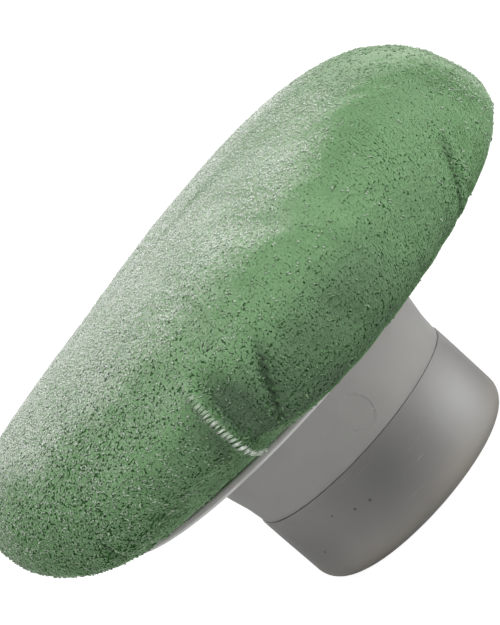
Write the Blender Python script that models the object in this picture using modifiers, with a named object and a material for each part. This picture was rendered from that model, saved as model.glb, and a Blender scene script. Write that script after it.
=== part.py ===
"""Powder puff: a gathered plush pad on a plastic handle that holds powder behind a screw cap.

Metres, +Z up. The puff stands on the closed end of its cap, with the handle's axis on Z and the origin in
the middle of that end. From there the stack goes cap, neck, flange, hem of the cover, clamp disc, foam,
crown of the cover.
"""

import math
from typing import NamedTuple

import bmesh
import bpy
from mathutils import Vector

# Fits shared by all pieces
CLEARANCE = 0.0003
CUT_OVERRUN = 0.0010
MERGE_DISTANCE = 0.00001

# Screw cap
CAP_HEIGHT = 0.0133
CAP_RIM_RADIUS = 0.0180
CAP_END_RADIUS = 0.0179
CAP_WALL = 0.00155
CAP_FLOOR = 0.0016
CAP_END_FILLET = 0.0030
CAP_MOUTH_CHAMFER = 0.0003

# Sealing disc in the cap
LINER_THICKNESS = 0.0010
LINER_SIDE_GAP = 0.0004
LINER_EDGE_CHAMFER = 0.0002

# Neck, spigot and flange, one moulding
NECK_SEAM_RADIUS = 0.01765
NECK_FLANGE_RADIUS = 0.0198
NECK_HEIGHT = 0.0115
NECK_SKIRT_WALL = 0.00145
NECK_FILLET = 0.0008
FLANGE_RADIUS = 0.0334
FLANGE_THICKNESS = 0.00115
SPIGOT_RADIUS = 0.0150
SPIGOT_CHAMFER = 0.0004
CHAMBER_MOUTH_RADIUS = 0.0137
CHAMBER_TOP_RADIUS = 0.0135
SKIRT_VOID_ROOF = 0.0015

# Screw thread, right-handed
THREAD_PITCH = 0.0030
THREAD_TURNS = 2.0
THREAD_ROOT_WIDTH = 0.0013
THREAD_CREST_WIDTH = 0.0007
THREAD_FIRST_CENTRE = 0.0024
THREAD_RUN_OUT_TURNS = 0.12
THREAD_BURIED_DEPTH = 0.0004
THREAD_SUNK_END = 0.0002
THREAD_SIDE_GAP = 0.0003

# Perforated disc over the powder chamber
SIFTER_THICKNESS = 0.0014
SIFTER_SEAT_STEP = 0.0017
SIFTER_HOLE_RADIUS = 0.0008
SIFTER_RING_STEP = 0.0042
SIFTER_HOLES_PER_RING = 6
SIFTER_RINGS = 2

# Clamp disc and the pegs that hold it
CLAMP_GRIP_WIDTH = 0.0075
CLAMP_THICKNESS = 0.0015
CLAMP_HUB_WALL = 0.0014
CLAMP_BORE_RADIUS = 0.0128
PEG_COUNT = 6
PEG_SEAT_DISTANCE = 0.0020
PEG_RADIUS = 0.0012
PEG_HEAD_RADIUS = 0.0020
PEG_HEAD_HEIGHT = 0.0008
PEG_HEAD_SIDE_GAP = 0.0004
PEG_BURIED_DEPTH = 0.0006

# Plush cover
PAD_RADIUS = 0.0448
PAD_BACK_DEPTH = 0.0033
CROWN_HEIGHT = 0.0198
COVER_THICKNESS = 0.0030
HEM_THICKNESS = 0.00205
HEM_SIDE_GAP = 0.0015
HEM_LIP = 0.0008
CROWN_RADIAL_POWER = 3.8
CROWN_AXIAL_POWER = 2.6
BACK_RADIAL_POWER = 1.3
PUCKER_COUNT = 12
PUCKER_DEPTH = 0.0006

# How the soft pad has settled on its plate: shifted, leaning, longer towards -X and raised at that end
SETTLE_SHIFT_X = 0.0049
SETTLE_SHIFT_Y = 0.0009
SETTLE_LEAN_X = -0.0512
SETTLE_LEAN_Y = -0.0441
SETTLE_STRETCH_MEAN = 0.014
SETTLE_STRETCH_CHANGE = -0.077
SETTLE_STRETCH_BLEND = 0.015
SETTLE_LIFT = 0.0085
SETTLE_RADIAL_REACH = 0.0080
SETTLE_RISE_START = 0.0058
SETTLE_RISE_REACH = 0.0075

# Cord in the hem
CORD_RADIUS = 0.0005

# Foam core
WELL_RADIUS = 0.0120
WELL_DEPTH = 0.0055

# Facets
COVER_STEPS = 48
FOAM_STEPS = 24
RIGID_STEPS = 48
THREAD_STEPS_PER_TURN = 36
SMALL_ROUND_STEPS = 10
HOLE_STEPS = 8
CORD_SECTION_STEPS = 6
FILLET_STEPS = 3
CROWN_STEPS = 8
INNER_CROWN_STEPS = 5
BACK_STEPS = 4
INNER_BACK_STEPS = 3
SMOOTH_ANGLE = math.radians(35.0)

# Heights, each from the piece below it
LINER_BASE_Z = CAP_FLOOR + CLEARANCE
LINER_TOP_Z = LINER_BASE_Z + LINER_THICKNESS
SPIGOT_MOUTH_Z = LINER_TOP_Z + CLEARANCE
NECK_BASE_Z = CAP_HEIGHT + CLEARANCE
FLANGE_BASE_Z = NECK_BASE_Z + NECK_HEIGHT
FLANGE_TOP_Z = FLANGE_BASE_Z + FLANGE_THICKNESS
SIFTER_BASE_Z = FLANGE_TOP_Z - SIFTER_THICKNESS
SIFTER_LEDGE_Z = SIFTER_BASE_Z - CLEARANCE
COVER_BASE_Z = FLANGE_TOP_Z + CLEARANCE
HEM_TOP_Z = COVER_BASE_Z + HEM_THICKNESS
CLAMP_FOOT_TOP_Z = COVER_BASE_Z + CLAMP_THICKNESS
CLAMP_BASE_Z = HEM_TOP_Z + CLEARANCE
CLAMP_TOP_Z = CLAMP_BASE_Z + CLAMP_THICKNESS
FOAM_SEAT_Z = CLAMP_TOP_Z + CLEARANCE
EQUATOR_Z = COVER_BASE_Z + PAD_BACK_DEPTH

# Radii, each from the piece inside it
CAP_BORE_RADIUS = CAP_RIM_RADIUS - CAP_WALL
SIFTER_SEAT_RADIUS = CHAMBER_TOP_RADIUS + SIFTER_SEAT_STEP
PEG_CIRCLE_RADIUS = SIFTER_SEAT_RADIUS + PEG_SEAT_DISTANCE
CLAMP_RECESS_RADIUS = PEG_CIRCLE_RADIUS + PEG_HEAD_RADIUS + PEG_HEAD_SIDE_GAP
CLAMP_HUB_RADIUS = CLAMP_RECESS_RADIUS + CLAMP_HUB_WALL
HEM_RADIUS = CLAMP_HUB_RADIUS + HEM_SIDE_GAP
CLAMP_RADIUS = HEM_RADIUS + CLAMP_GRIP_WIDTH
CORD_RING_RADIUS = HEM_RADIUS + HEM_LIP + CLEARANCE + CORD_RADIUS
CORD_Z = HEM_TOP_Z - CORD_RADIUS

Point = tuple[float, float]


class Finish(NamedTuple):
    """A colour as linear red, green and blue, and a roughness."""

    colour: tuple[float, float, float]
    roughness: float


GREEN_PLUSH = Finish((0.16, 0.36, 0.17), 0.9)
CREAM_FOAM = Finish((0.78, 0.74, 0.62), 0.95)
WHITE_CORD = Finish((0.80, 0.80, 0.76), 0.8)
GREY_PLASTIC = Finish((0.37, 0.36, 0.36), 0.5)
WHITE_PLASTIC = Finish((0.74, 0.74, 0.72), 0.45)
WHITE_LINER = Finish((0.66, 0.67, 0.66), 0.7)


def clear_scene() -> None:
    """Removes every object that is in the scene."""
    for old in list(bpy.data.objects):
        bpy.data.objects.remove(old, do_unlink=True)


def new_collection(name: str) -> bpy.types.Collection:
    """Makes a collection under the scene's own."""
    collection = bpy.data.collections.new(name)
    bpy.context.scene.collection.children.link(collection)
    return collection


def new_material(name: str, finish_of: Finish) -> bpy.types.Material:
    """Makes a non-metal Principled material with a finish."""
    material = bpy.data.materials.new(name)
    material.use_nodes = True
    shader = material.node_tree.nodes["Principled BSDF"]
    shader.inputs["Base Color"].default_value = (*finish_of.colour, 1.0)
    shader.inputs["Roughness"].default_value = finish_of.roughness
    shader.inputs["Metallic"].default_value = 0.0
    return material


def place(piece: bpy.types.Object, collection: bpy.types.Collection, parent: bpy.types.Object | None) -> None:
    """Puts an object in one collection and under its parent, where it stands."""
    collection.objects.link(piece)
    if parent is not None:
        piece.parent = parent
        piece.matrix_parent_inverse = parent.matrix_world.inverted()


def arc(centre: Point, radius: float, start: float, end: float, steps: int) -> list[Point]:
    """Gives points on a round stretch of a profile, both ends included, for angles in degrees."""
    points = []
    for step in range(steps + 1):
        angle = math.radians(start + (end - start) * step / steps)
        points.append((centre[0] + radius * math.cos(angle), centre[1] + radius * math.sin(angle)))
    return points


def turned(name: str, points: list[Point], steps: int, closed: bool) -> bpy.types.Object:
    """Turns a profile of radius and height points about Z, as an object with a live Screw modifier."""
    mesh = bpy.data.meshes.new(name)
    edges = [(index, index + 1) for index in range(len(points) - 1)]
    if closed:
        edges.append((len(points) - 1, 0))
    mesh.from_pydata([(radius, 0.0, height) for radius, height in points], edges, [])
    piece = bpy.data.objects.new(name, mesh)
    screw = piece.modifiers.new("Turn", "SCREW")
    screw.steps = steps
    screw.render_steps = steps
    screw.use_merge_vertices = True
    screw.merge_threshold = MERGE_DISTANCE
    return piece


def make_real(piece: bpy.types.Object) -> None:
    """Replaces a new object's mesh by its evaluated one, and drops its modifiers."""
    bpy.context.scene.collection.objects.link(piece)
    bpy.context.view_layer.update()
    evaluated = piece.evaluated_get(bpy.context.evaluated_depsgraph_get())
    mesh = bpy.data.meshes.new_from_object(evaluated)
    piece.modifiers.clear()
    piece.data = mesh
    bpy.context.scene.collection.objects.unlink(piece)


def add_boolean(piece: bpy.types.Object, tool: bpy.types.Object, operation: str) -> None:
    """Adds a live Boolean to a piece and marks its tool as a guide."""
    modifier = piece.modifiers.new(f"{operation.title()} {tool.name}", "BOOLEAN")
    modifier.operation = operation
    modifier.solver = "EXACT"
    modifier.object = tool
    tool.hide_render = True
    tool.display_type = "WIRE"


def finish(piece: bpy.types.Object, material: bpy.types.Material) -> None:
    """Gives a piece its material and smooth shading that breaks at its corners."""
    piece.data.materials.clear()
    piece.data.materials.append(material)
    piece.data.shade_smooth()
    piece.data.set_sharp_from_angle(angle=SMOOTH_ANGLE)


def mesh_object(name: str, shape: bmesh.types.BMesh) -> bpy.types.Object:
    """Makes an object from a bmesh and frees the bmesh."""
    mesh = bpy.data.meshes.new(name)
    shape.to_mesh(mesh)
    shape.free()
    return bpy.data.objects.new(name, mesh)


def ring_places(radius: float, count: int, height: float) -> list[Vector]:
    """Gives evenly spaced places on a circle about Z."""
    places = []
    for index in range(count):
        angle = 2.0 * math.pi * index / count
        places.append(Vector((radius * math.cos(angle), radius * math.sin(angle), height)))
    return places


def add_rod(shape: bmesh.types.BMesh, base: Vector, radii: Point, height: float, steps: int) -> None:
    """Adds an upright round rod, from its base up, with its lower and upper radius."""
    made = bmesh.ops.create_cone(
        shape, cap_ends=True, segments=steps, radius1=radii[0], radius2=radii[1], depth=height
    )
    bmesh.ops.translate(shape, verts=made["verts"], vec=base + Vector((0.0, 0.0, height / 2.0)))


def thread_ridge(name: str, root: float, crest: float, first_centre: float) -> bpy.types.Object:
    """Sweeps a trapezoid ridge up a right-handed helix, sunk into its wall at both ends.

    Args:
        name: The object's name.
        root: Radius of the wall that carries the ridge.
        crest: Radius of the ridge's crest, inside or outside the wall.
        first_centre: Height of the ridge's middle where it starts, on +X.
    """
    outward = 1.0 if crest > root else -1.0
    buried = root - outward * THREAD_BURIED_DEPTH
    half_root = THREAD_ROOT_WIDTH / 2.0
    half_crest = THREAD_CREST_WIDTH / 2.0
    section = [(buried, -half_root), (root, -half_root), (crest, -half_crest)]
    section += [(crest, half_crest), (root, half_root), (buried, half_root)]
    steps = round(THREAD_STEPS_PER_TURN * THREAD_TURNS)
    shape = bmesh.new()
    corners = [shape.verts.new((radius, 0.0, first_centre + height)) for radius, height in section]
    face = shape.faces.new(corners)
    bmesh.ops.spin(
        shape,
        geom=[face, *face.edges, *face.verts],
        cent=(0.0, 0.0, 0.0),
        axis=(0.0, 0.0, 1.0),
        dvec=(0.0, 0.0, THREAD_PITCH * THREAD_TURNS / steps),
        angle=2.0 * math.pi * THREAD_TURNS,
        steps=steps,
    )
    for vert in shape.verts:
        radius = math.hypot(vert.co.x, vert.co.y)
        part_turn = (math.atan2(vert.co.y, vert.co.x) / (2.0 * math.pi)) % 1.0
        turn = part_turn + round((vert.co.z - first_centre) / THREAD_PITCH - part_turn)
        ramp = min(1.0, max(0.0, min(turn, THREAD_TURNS - turn) / THREAD_RUN_OUT_TURNS))
        if abs(radius - crest) < THREAD_SUNK_END:
            sunk = root - outward * THREAD_SUNK_END
            stretch = (sunk + (crest - sunk) * ramp) / radius
            vert.co.x *= stretch
            vert.co.y *= stretch
    bmesh.ops.recalc_face_normals(shape, faces=shape.faces)
    return mesh_object(name, shape)


def crown(radius: float, height: float, steps: int) -> list[Point]:
    """Gives the pad's crown as a superellipse, from its top on the axis down to its widest ring."""
    points = []
    for step in range(steps + 1):
        angle = math.pi / 2.0 * (1.0 - step / steps)
        along = math.cos(angle) ** (2.0 / CROWN_RADIAL_POWER) if step else 0.0
        up = math.sin(angle) ** (2.0 / CROWN_AXIAL_POWER) if step < steps else 0.0
        points.append((radius * along, EQUATOR_Z + height * up))
    return points


def drawn_in_back(radius: float, inner: float, base: float, steps: int) -> list[Point]:
    """Gives the pad's back from below its widest ring in and down to its base, drawn in towards the base."""
    points = []
    for step in range(1, steps + 1):
        angle = math.pi / 2.0 * step / steps
        height = EQUATOR_Z - (EQUATOR_Z - base) * math.sin(angle)
        along = math.cos(angle) ** (2.0 / BACK_RADIAL_POWER) if step < steps else 0.0
        points.append((inner + (radius - inner) * along, height))
    return points


def make_cover() -> bpy.types.Object:
    """Makes the plush cover, a crowned shell drawn in to a hem with a groove for its cord."""
    groove_inner = HEM_RADIUS + HEM_LIP
    groove_outer = CORD_RING_RADIUS + CORD_RADIUS + CLEARANCE
    groove_floor = CORD_Z - CORD_RADIUS - CLEARANCE
    lining = PAD_RADIUS - COVER_THICKNESS
    outside = crown(PAD_RADIUS, CROWN_HEIGHT, CROWN_STEPS)
    outside += drawn_in_back(PAD_RADIUS, FLANGE_RADIUS, COVER_BASE_Z, BACK_STEPS)
    hem = [(HEM_RADIUS, COVER_BASE_Z), (HEM_RADIUS, HEM_TOP_Z), (groove_inner, HEM_TOP_Z)]
    hem += [(groove_inner, groove_floor), (groove_outer, groove_floor), (groove_outer, HEM_TOP_Z)]
    inside = crown(lining, CROWN_HEIGHT - COVER_THICKNESS, INNER_CROWN_STEPS)
    inside += drawn_in_back(lining, FLANGE_RADIUS, HEM_TOP_Z, INNER_BACK_STEPS)
    piece = turned("plush_cover", outside + hem + inside[::-1], COVER_STEPS, closed=False)
    make_real(piece)
    pucker_back(piece.data)
    settle(piece.data)
    return piece


def pucker_back(mesh: bpy.types.Mesh) -> None:
    """Presses the gathers into the cover's back, deepest half way between flange and widest ring."""
    back_width = PAD_RADIUS - FLANGE_RADIUS
    lining_margin = COVER_THICKNESS / 2.0
    for vert in mesh.vertices:
        radius = math.hypot(vert.co.x, vert.co.y)
        if radius <= FLANGE_RADIUS or vert.co.z >= EQUATOR_Z:
            continue
        along = (radius - FLANGE_RADIUS) / back_width
        skin_z = EQUATOR_Z - PAD_BACK_DEPTH * math.sqrt(max(0.0, 1.0 - along * along))
        if vert.co.z > skin_z + lining_margin:
            continue
        turn = math.atan2(vert.co.y, vert.co.x)
        fold = 0.5 - 0.5 * math.cos(PUCKER_COUNT * turn)
        vert.co.z += PUCKER_DEPTH * fold * math.sin(math.pi * along)


def smooth_step(value: float, low: float, reach: float) -> float:
    """Gives 0 at low, 1 a reach above it, and a smooth step between."""
    share = min(1.0, max(0.0, (value - low) / reach))
    return share * share * (3.0 - 2.0 * share)


def settle(mesh: bpy.types.Mesh) -> None:
    """Skews the pad on its plate, with the hem and what lies under the foam left where they are."""
    for vert in mesh.vertices:
        x, y, z = vert.co
        held = smooth_step(math.hypot(x, y), FLANGE_RADIUS, SETTLE_RADIAL_REACH)
        share = max(held, smooth_step(z, FOAM_SEAT_Z + SETTLE_RISE_START, SETTLE_RISE_REACH))
        if share <= 0.0:
            continue
        rise = z - FLANGE_BASE_Z
        blend = x / math.hypot(x, SETTLE_STRETCH_BLEND)
        longer = x * (SETTLE_STRETCH_MEAN + SETTLE_STRETCH_CHANGE * blend)
        end = max(0.0, -(x + longer + SETTLE_SHIFT_X) / PAD_RADIUS)
        vert.co.x += share * (SETTLE_SHIFT_X + longer + SETTLE_LEAN_X * rise)
        vert.co.y += share * (SETTLE_SHIFT_Y + SETTLE_LEAN_Y * rise)
        vert.co.z += share * (SETTLE_LIFT * end**3 - SETTLE_LEAN_X * (x + longer) - SETTLE_LEAN_Y * y)


def make_foam() -> bpy.types.Object:
    """Makes the foam core, which fills the cover over the clamp disc and has a powder well below."""
    skin = PAD_RADIUS - COVER_THICKNESS - CLEARANCE
    outside = crown(skin, CROWN_HEIGHT - COVER_THICKNESS - CLEARANCE, INNER_CROWN_STEPS)
    outside += drawn_in_back(skin, FLANGE_RADIUS, CLAMP_BASE_Z, INNER_BACK_STEPS)
    step_radius = CLAMP_RADIUS + CLEARANCE
    seat = [(step_radius, CLAMP_BASE_Z), (step_radius, FOAM_SEAT_Z), (WELL_RADIUS, FOAM_SEAT_Z)]
    seat += [(WELL_RADIUS, FOAM_SEAT_Z + WELL_DEPTH), (0.0, FOAM_SEAT_Z + WELL_DEPTH)]
    piece = turned("foam_pad", outside + seat, FOAM_STEPS, closed=False)
    make_real(piece)
    settle(piece.data)
    return piece


def make_cord() -> bpy.types.Object:
    """Makes the closed ring of cord that lies in the hem's groove."""
    bpy.ops.mesh.primitive_torus_add(
        major_segments=COVER_STEPS,
        minor_segments=CORD_SECTION_STEPS,
        major_radius=CORD_RING_RADIUS,
        minor_radius=CORD_RADIUS,
        location=(0.0, 0.0, CORD_Z),
    )
    piece = bpy.context.active_object
    piece.name = "gather_cord"
    for collection in list(piece.users_collection):
        collection.objects.unlink(piece)
    return piece


def make_clamp(cutters: bpy.types.Collection) -> bpy.types.Object:
    """Makes the hat-shaped clamp disc with its peg holes."""
    edge = CLAMP_THICKNESS / 2.0
    profile = [(CLAMP_RECESS_RADIUS, CLAMP_TOP_Z)]
    profile += arc((CLAMP_RADIUS - edge, CLAMP_BASE_Z + edge), edge, 90.0, -90.0, FILLET_STEPS)
    profile += [(CLAMP_HUB_RADIUS, CLAMP_BASE_Z), (CLAMP_HUB_RADIUS, COVER_BASE_Z)]
    profile += [(CLAMP_BORE_RADIUS, COVER_BASE_Z), (CLAMP_BORE_RADIUS, CLAMP_FOOT_TOP_Z)]
    profile += [(CLAMP_RECESS_RADIUS, CLAMP_FOOT_TOP_Z)]
    piece = turned("clamp_disc", profile, RIGID_STEPS, closed=True)
    hole = PEG_RADIUS + CLEARANCE
    shape = bmesh.new()
    for base in ring_places(PEG_CIRCLE_RADIUS, PEG_COUNT, COVER_BASE_Z - CUT_OVERRUN):
        add_rod(shape, base, (hole, hole), CLAMP_THICKNESS + 2.0 * CUT_OVERRUN, SMALL_ROUND_STEPS)
    cutter = mesh_object("peg_hole_cutter", shape)
    place(cutter, cutters, None)
    add_boolean(piece, cutter, "DIFFERENCE")
    return piece


def make_back_plate(cutters: bpy.types.Collection) -> bpy.types.Object:
    """Makes the flange, neck and threaded spigot as one moulding, with the staked pegs."""
    edge = FLANGE_THICKNESS / 2.0
    skirt_bore = NECK_SEAM_RADIUS - NECK_SKIRT_WALL
    skirt_growth = (NECK_FLANGE_RADIUS - NECK_SEAM_RADIUS) / 2.0
    void_roof = SIFTER_LEDGE_Z - SKIRT_VOID_ROOF
    fillet_centre = (NECK_FLANGE_RADIUS + NECK_FILLET, FLANGE_BASE_Z - NECK_FILLET)
    profile = [(SIFTER_SEAT_RADIUS, FLANGE_TOP_Z)]
    profile += arc((FLANGE_RADIUS - edge, FLANGE_BASE_Z + edge), edge, 90.0, -90.0, FILLET_STEPS)
    profile += arc(fillet_centre, NECK_FILLET, 90.0, 180.0, FILLET_STEPS)
    profile += [(NECK_SEAM_RADIUS, NECK_BASE_Z), (skirt_bore, NECK_BASE_Z)]
    profile += [(skirt_bore + skirt_growth, void_roof), (SPIGOT_RADIUS, void_roof)]
    profile += [(SPIGOT_RADIUS, SPIGOT_MOUTH_Z + SPIGOT_CHAMFER)]
    profile += [(SPIGOT_RADIUS - SPIGOT_CHAMFER, SPIGOT_MOUTH_Z)]
    profile += [(CHAMBER_MOUTH_RADIUS, SPIGOT_MOUTH_Z), (CHAMBER_TOP_RADIUS, SIFTER_LEDGE_Z)]
    profile += [(SIFTER_SEAT_RADIUS, SIFTER_LEDGE_Z)]
    piece = turned("back_plate", profile, RIGID_STEPS, closed=True)
    first_centre = SPIGOT_MOUTH_Z + THREAD_FIRST_CENTRE
    ridge = thread_ridge("spigot_thread", SPIGOT_RADIUS, CAP_BORE_RADIUS - THREAD_SIDE_GAP, first_centre)
    place(ridge, cutters, None)
    add_boolean(piece, ridge, "UNION")
    pegs = make_pegs()
    place(pegs, cutters, None)
    add_boolean(piece, pegs, "UNION")
    return piece


def make_pegs() -> bpy.types.Object:
    """Makes the ring of pegs with the flattened heads that hold the clamp disc."""
    foot = FLANGE_TOP_Z - PEG_BURIED_DEPTH
    head = CLAMP_FOOT_TOP_Z + CLEARANCE
    profile = [(0.0, head + PEG_HEAD_HEIGHT), (PEG_RADIUS, head + PEG_HEAD_HEIGHT)]
    profile += [(PEG_HEAD_RADIUS, head + PEG_HEAD_HEIGHT / 2.0), (PEG_HEAD_RADIUS, head)]
    profile += [(PEG_RADIUS, head), (PEG_RADIUS, foot), (0.0, foot)]
    peg = turned("peg", profile, SMALL_ROUND_STEPS, closed=False)
    make_real(peg)
    shape = bmesh.new()
    for base in ring_places(PEG_CIRCLE_RADIUS, PEG_COUNT, 0.0):
        known = set(shape.verts)
        shape.from_mesh(peg.data)
        bmesh.ops.translate(shape, verts=[vert for vert in shape.verts if vert not in known], vec=base)
    bpy.data.objects.remove(peg, do_unlink=True)
    return mesh_object("staked_pegs", shape)


def make_sifter(cutters: bpy.types.Collection) -> bpy.types.Object:
    """Makes the perforated disc, with one hole in the middle and rings of holes round it."""
    rim = SIFTER_SEAT_RADIUS - CLEARANCE
    profile = [(0.0, FLANGE_TOP_Z), (rim, FLANGE_TOP_Z), (rim, SIFTER_BASE_Z), (0.0, SIFTER_BASE_Z)]
    piece = turned("sifter_disc", profile, RIGID_STEPS, closed=False)
    bottom = SIFTER_BASE_Z - CUT_OVERRUN
    places = [Vector((0.0, 0.0, bottom))]
    for ring in range(1, SIFTER_RINGS + 1):
        places += ring_places(SIFTER_RING_STEP * ring, SIFTER_HOLES_PER_RING * ring, bottom)
    shape = bmesh.new()
    for base in places:
        radii = (SIFTER_HOLE_RADIUS, SIFTER_HOLE_RADIUS)
        add_rod(shape, base, radii, SIFTER_THICKNESS + 2.0 * CUT_OVERRUN, HOLE_STEPS)
    cutter = mesh_object("sifter_hole_cutter", shape)
    place(cutter, cutters, None)
    add_boolean(piece, cutter, "DIFFERENCE")
    return piece


def make_cap(cutters: bpy.types.Collection) -> bpy.types.Object:
    """Makes the closed screw cap with its inner thread."""
    profile = [(0.0, CAP_FLOOR), (CAP_BORE_RADIUS, CAP_FLOOR)]
    chamfer_z = CAP_HEIGHT - CAP_MOUTH_CHAMFER
    profile += [(CAP_BORE_RADIUS, chamfer_z), (CAP_BORE_RADIUS + CAP_MOUTH_CHAMFER, CAP_HEIGHT)]
    profile += [(CAP_RIM_RADIUS - CAP_MOUTH_CHAMFER, CAP_HEIGHT), (CAP_RIM_RADIUS, chamfer_z)]
    fillet_centre = (CAP_END_RADIUS - CAP_END_FILLET, CAP_END_FILLET)
    profile += arc(fillet_centre, CAP_END_FILLET, 0.0, -90.0, FILLET_STEPS + 1)
    profile += [(0.0, 0.0)]
    piece = turned("handle_cap", profile, RIGID_STEPS, closed=False)
    first_centre = SPIGOT_MOUTH_Z + THREAD_FIRST_CENTRE - THREAD_PITCH / 2.0
    ridge = thread_ridge("cap_thread", CAP_BORE_RADIUS, SPIGOT_RADIUS + THREAD_SIDE_GAP, first_centre)
    place(ridge, cutters, None)
    add_boolean(piece, ridge, "UNION")
    return piece


def make_liner() -> bpy.types.Object:
    """Makes the sealing disc that lies on the cap's floor under the spigot's mouth."""
    rim = CAP_BORE_RADIUS - LINER_SIDE_GAP
    profile = [(0.0, LINER_TOP_Z), (rim - LINER_EDGE_CHAMFER, LINER_TOP_Z)]
    profile += [(rim, LINER_TOP_Z - LINER_EDGE_CHAMFER), (rim, LINER_BASE_Z), (0.0, LINER_BASE_Z)]
    return turned("cap_liner", profile, RIGID_STEPS, closed=False)


def main() -> None:
    """Builds the puff."""
    clear_scene()
    parts = new_collection("powder_puff")
    cutters = new_collection("cutters")
    stand = bpy.data.objects.new("stand_frame", None)
    screw = bpy.data.objects.new("screw_axis", None)
    screw.location = (0.0, 0.0, CAP_HEIGHT)
    place(stand, parts, None)
    place(screw, parts, None)
    bpy.context.view_layer.update()
    dressed = [
        (make_cover(), screw, new_material("plush", GREEN_PLUSH)),
        (make_foam(), screw, new_material("foam", CREAM_FOAM)),
        (make_cord(), screw, new_material("hem_cord", WHITE_CORD)),
        (make_clamp(cutters), screw, new_material("clamp_plastic", WHITE_PLASTIC)),
        (make_back_plate(cutters), screw, new_material("plate_plastic", GREY_PLASTIC)),
        (make_sifter(cutters), screw, new_material("sifter_plastic", WHITE_PLASTIC)),
        (make_cap(cutters), stand, new_material("cap_plastic", GREY_PLASTIC)),
        (make_liner(), screw, new_material("liner_foam", WHITE_LINER)),
    ]
    for piece, carrier, material in dressed:
        place(piece, parts, carrier)
        finish(piece, material)


main()
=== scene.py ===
"""Looks of a powder puff: a gathered plush pad on a plastic handle with a screw cap.

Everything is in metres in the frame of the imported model: +Z runs up the handle's axis from the closed
end of the cap, which stands on the floor, to the face of the pad.
"""

from __future__ import annotations

import logging
import math
from collections.abc import Callable, Sequence
from dataclasses import dataclass, field
from enum import Enum
from itertools import pairwise

import bpy
import numpy as np
from mathutils import Matrix, Vector


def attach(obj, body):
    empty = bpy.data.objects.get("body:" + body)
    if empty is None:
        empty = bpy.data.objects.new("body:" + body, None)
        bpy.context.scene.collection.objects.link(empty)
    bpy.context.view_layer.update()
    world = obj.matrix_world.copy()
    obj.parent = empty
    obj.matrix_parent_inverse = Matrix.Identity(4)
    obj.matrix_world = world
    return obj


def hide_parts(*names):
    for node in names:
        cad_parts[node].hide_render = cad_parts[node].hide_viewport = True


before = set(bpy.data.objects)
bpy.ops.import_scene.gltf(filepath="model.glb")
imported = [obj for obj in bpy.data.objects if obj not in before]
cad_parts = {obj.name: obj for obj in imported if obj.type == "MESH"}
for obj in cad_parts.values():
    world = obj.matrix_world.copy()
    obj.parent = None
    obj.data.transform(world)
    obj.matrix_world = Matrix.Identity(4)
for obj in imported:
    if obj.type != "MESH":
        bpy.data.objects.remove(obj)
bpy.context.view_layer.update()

log = logging.getLogger("powder_puff")

MERGE_DISTANCE = 1e-6
BODY_CAP = "cap"
BODY_LINER = "liner"
BODY_PUFF = "puff"
WHITE = (1.0, 1.0, 1.0)

Colour = tuple[float, float, float]
Spot = tuple[float, float, float]
Value = "float | Sequence[float] | Wire"


class Slot(Enum):
    """The record's material slots; nothing in this script gives them to a piece."""

    PLUSH = "plush"
    FOAM = "foam"
    HEM_CORD = "hem_cord"
    HANDLE_PLASTIC = "handle_plastic"
    LINER_FOAM = "liner_foam"


# Shader recipes


def arithmetic(operation: str) -> tuple[Callable[[Wire, Value], Wire], Callable[[Wire, Value], Wire]]:
    """Makes the methods that add one kind of Math node.

    Args:
        operation: The node's operation.

    Returns:
        The method for a wire on the left, and its reflected form.
    """

    def left(self: Wire, other: Value) -> Wire:
        """Puts the wire first."""
        return self.math(operation, self, other)

    def right(self: Wire, other: Value) -> Wire:
        """Puts the wire second."""
        return self.math(operation, other, self)

    return left, right


class Wire:
    """A value that runs from one shader node to the next, with arithmetic that adds Math nodes."""

    def __init__(self, recipe: Recipe, socket: bpy.types.NodeSocket) -> None:
        """Keeps the output socket and the recipe that it belongs to."""
        self.recipe = recipe
        self.socket = socket

    def math(self, operation: str, *values: Value) -> Wire:
        """Adds a Math node with these values in order."""
        return self.recipe.node("ShaderNodeMath", {"operation": operation}, dict(enumerate(values)))

    __add__, __radd__ = arithmetic("ADD")
    __sub__, __rsub__ = arithmetic("SUBTRACT")
    __mul__, __rmul__ = arithmetic("MULTIPLY")

    def between(self, low: float, high: float) -> Wire:
        """Steps smoothly from 0 to 1.

        Args:
            low: Where it is 0; it may be the larger.
            high: Where it is 1.

        Returns:
            The stepped value.
        """
        ends = (low, high, 0.0, 1.0) if low < high else (high, low, 1.0, 0.0)
        inputs = dict(enumerate((self, *ends)))
        return self.recipe.node("ShaderNodeMapRange", {"interpolation_type": "SMOOTHSTEP"}, inputs)


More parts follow.
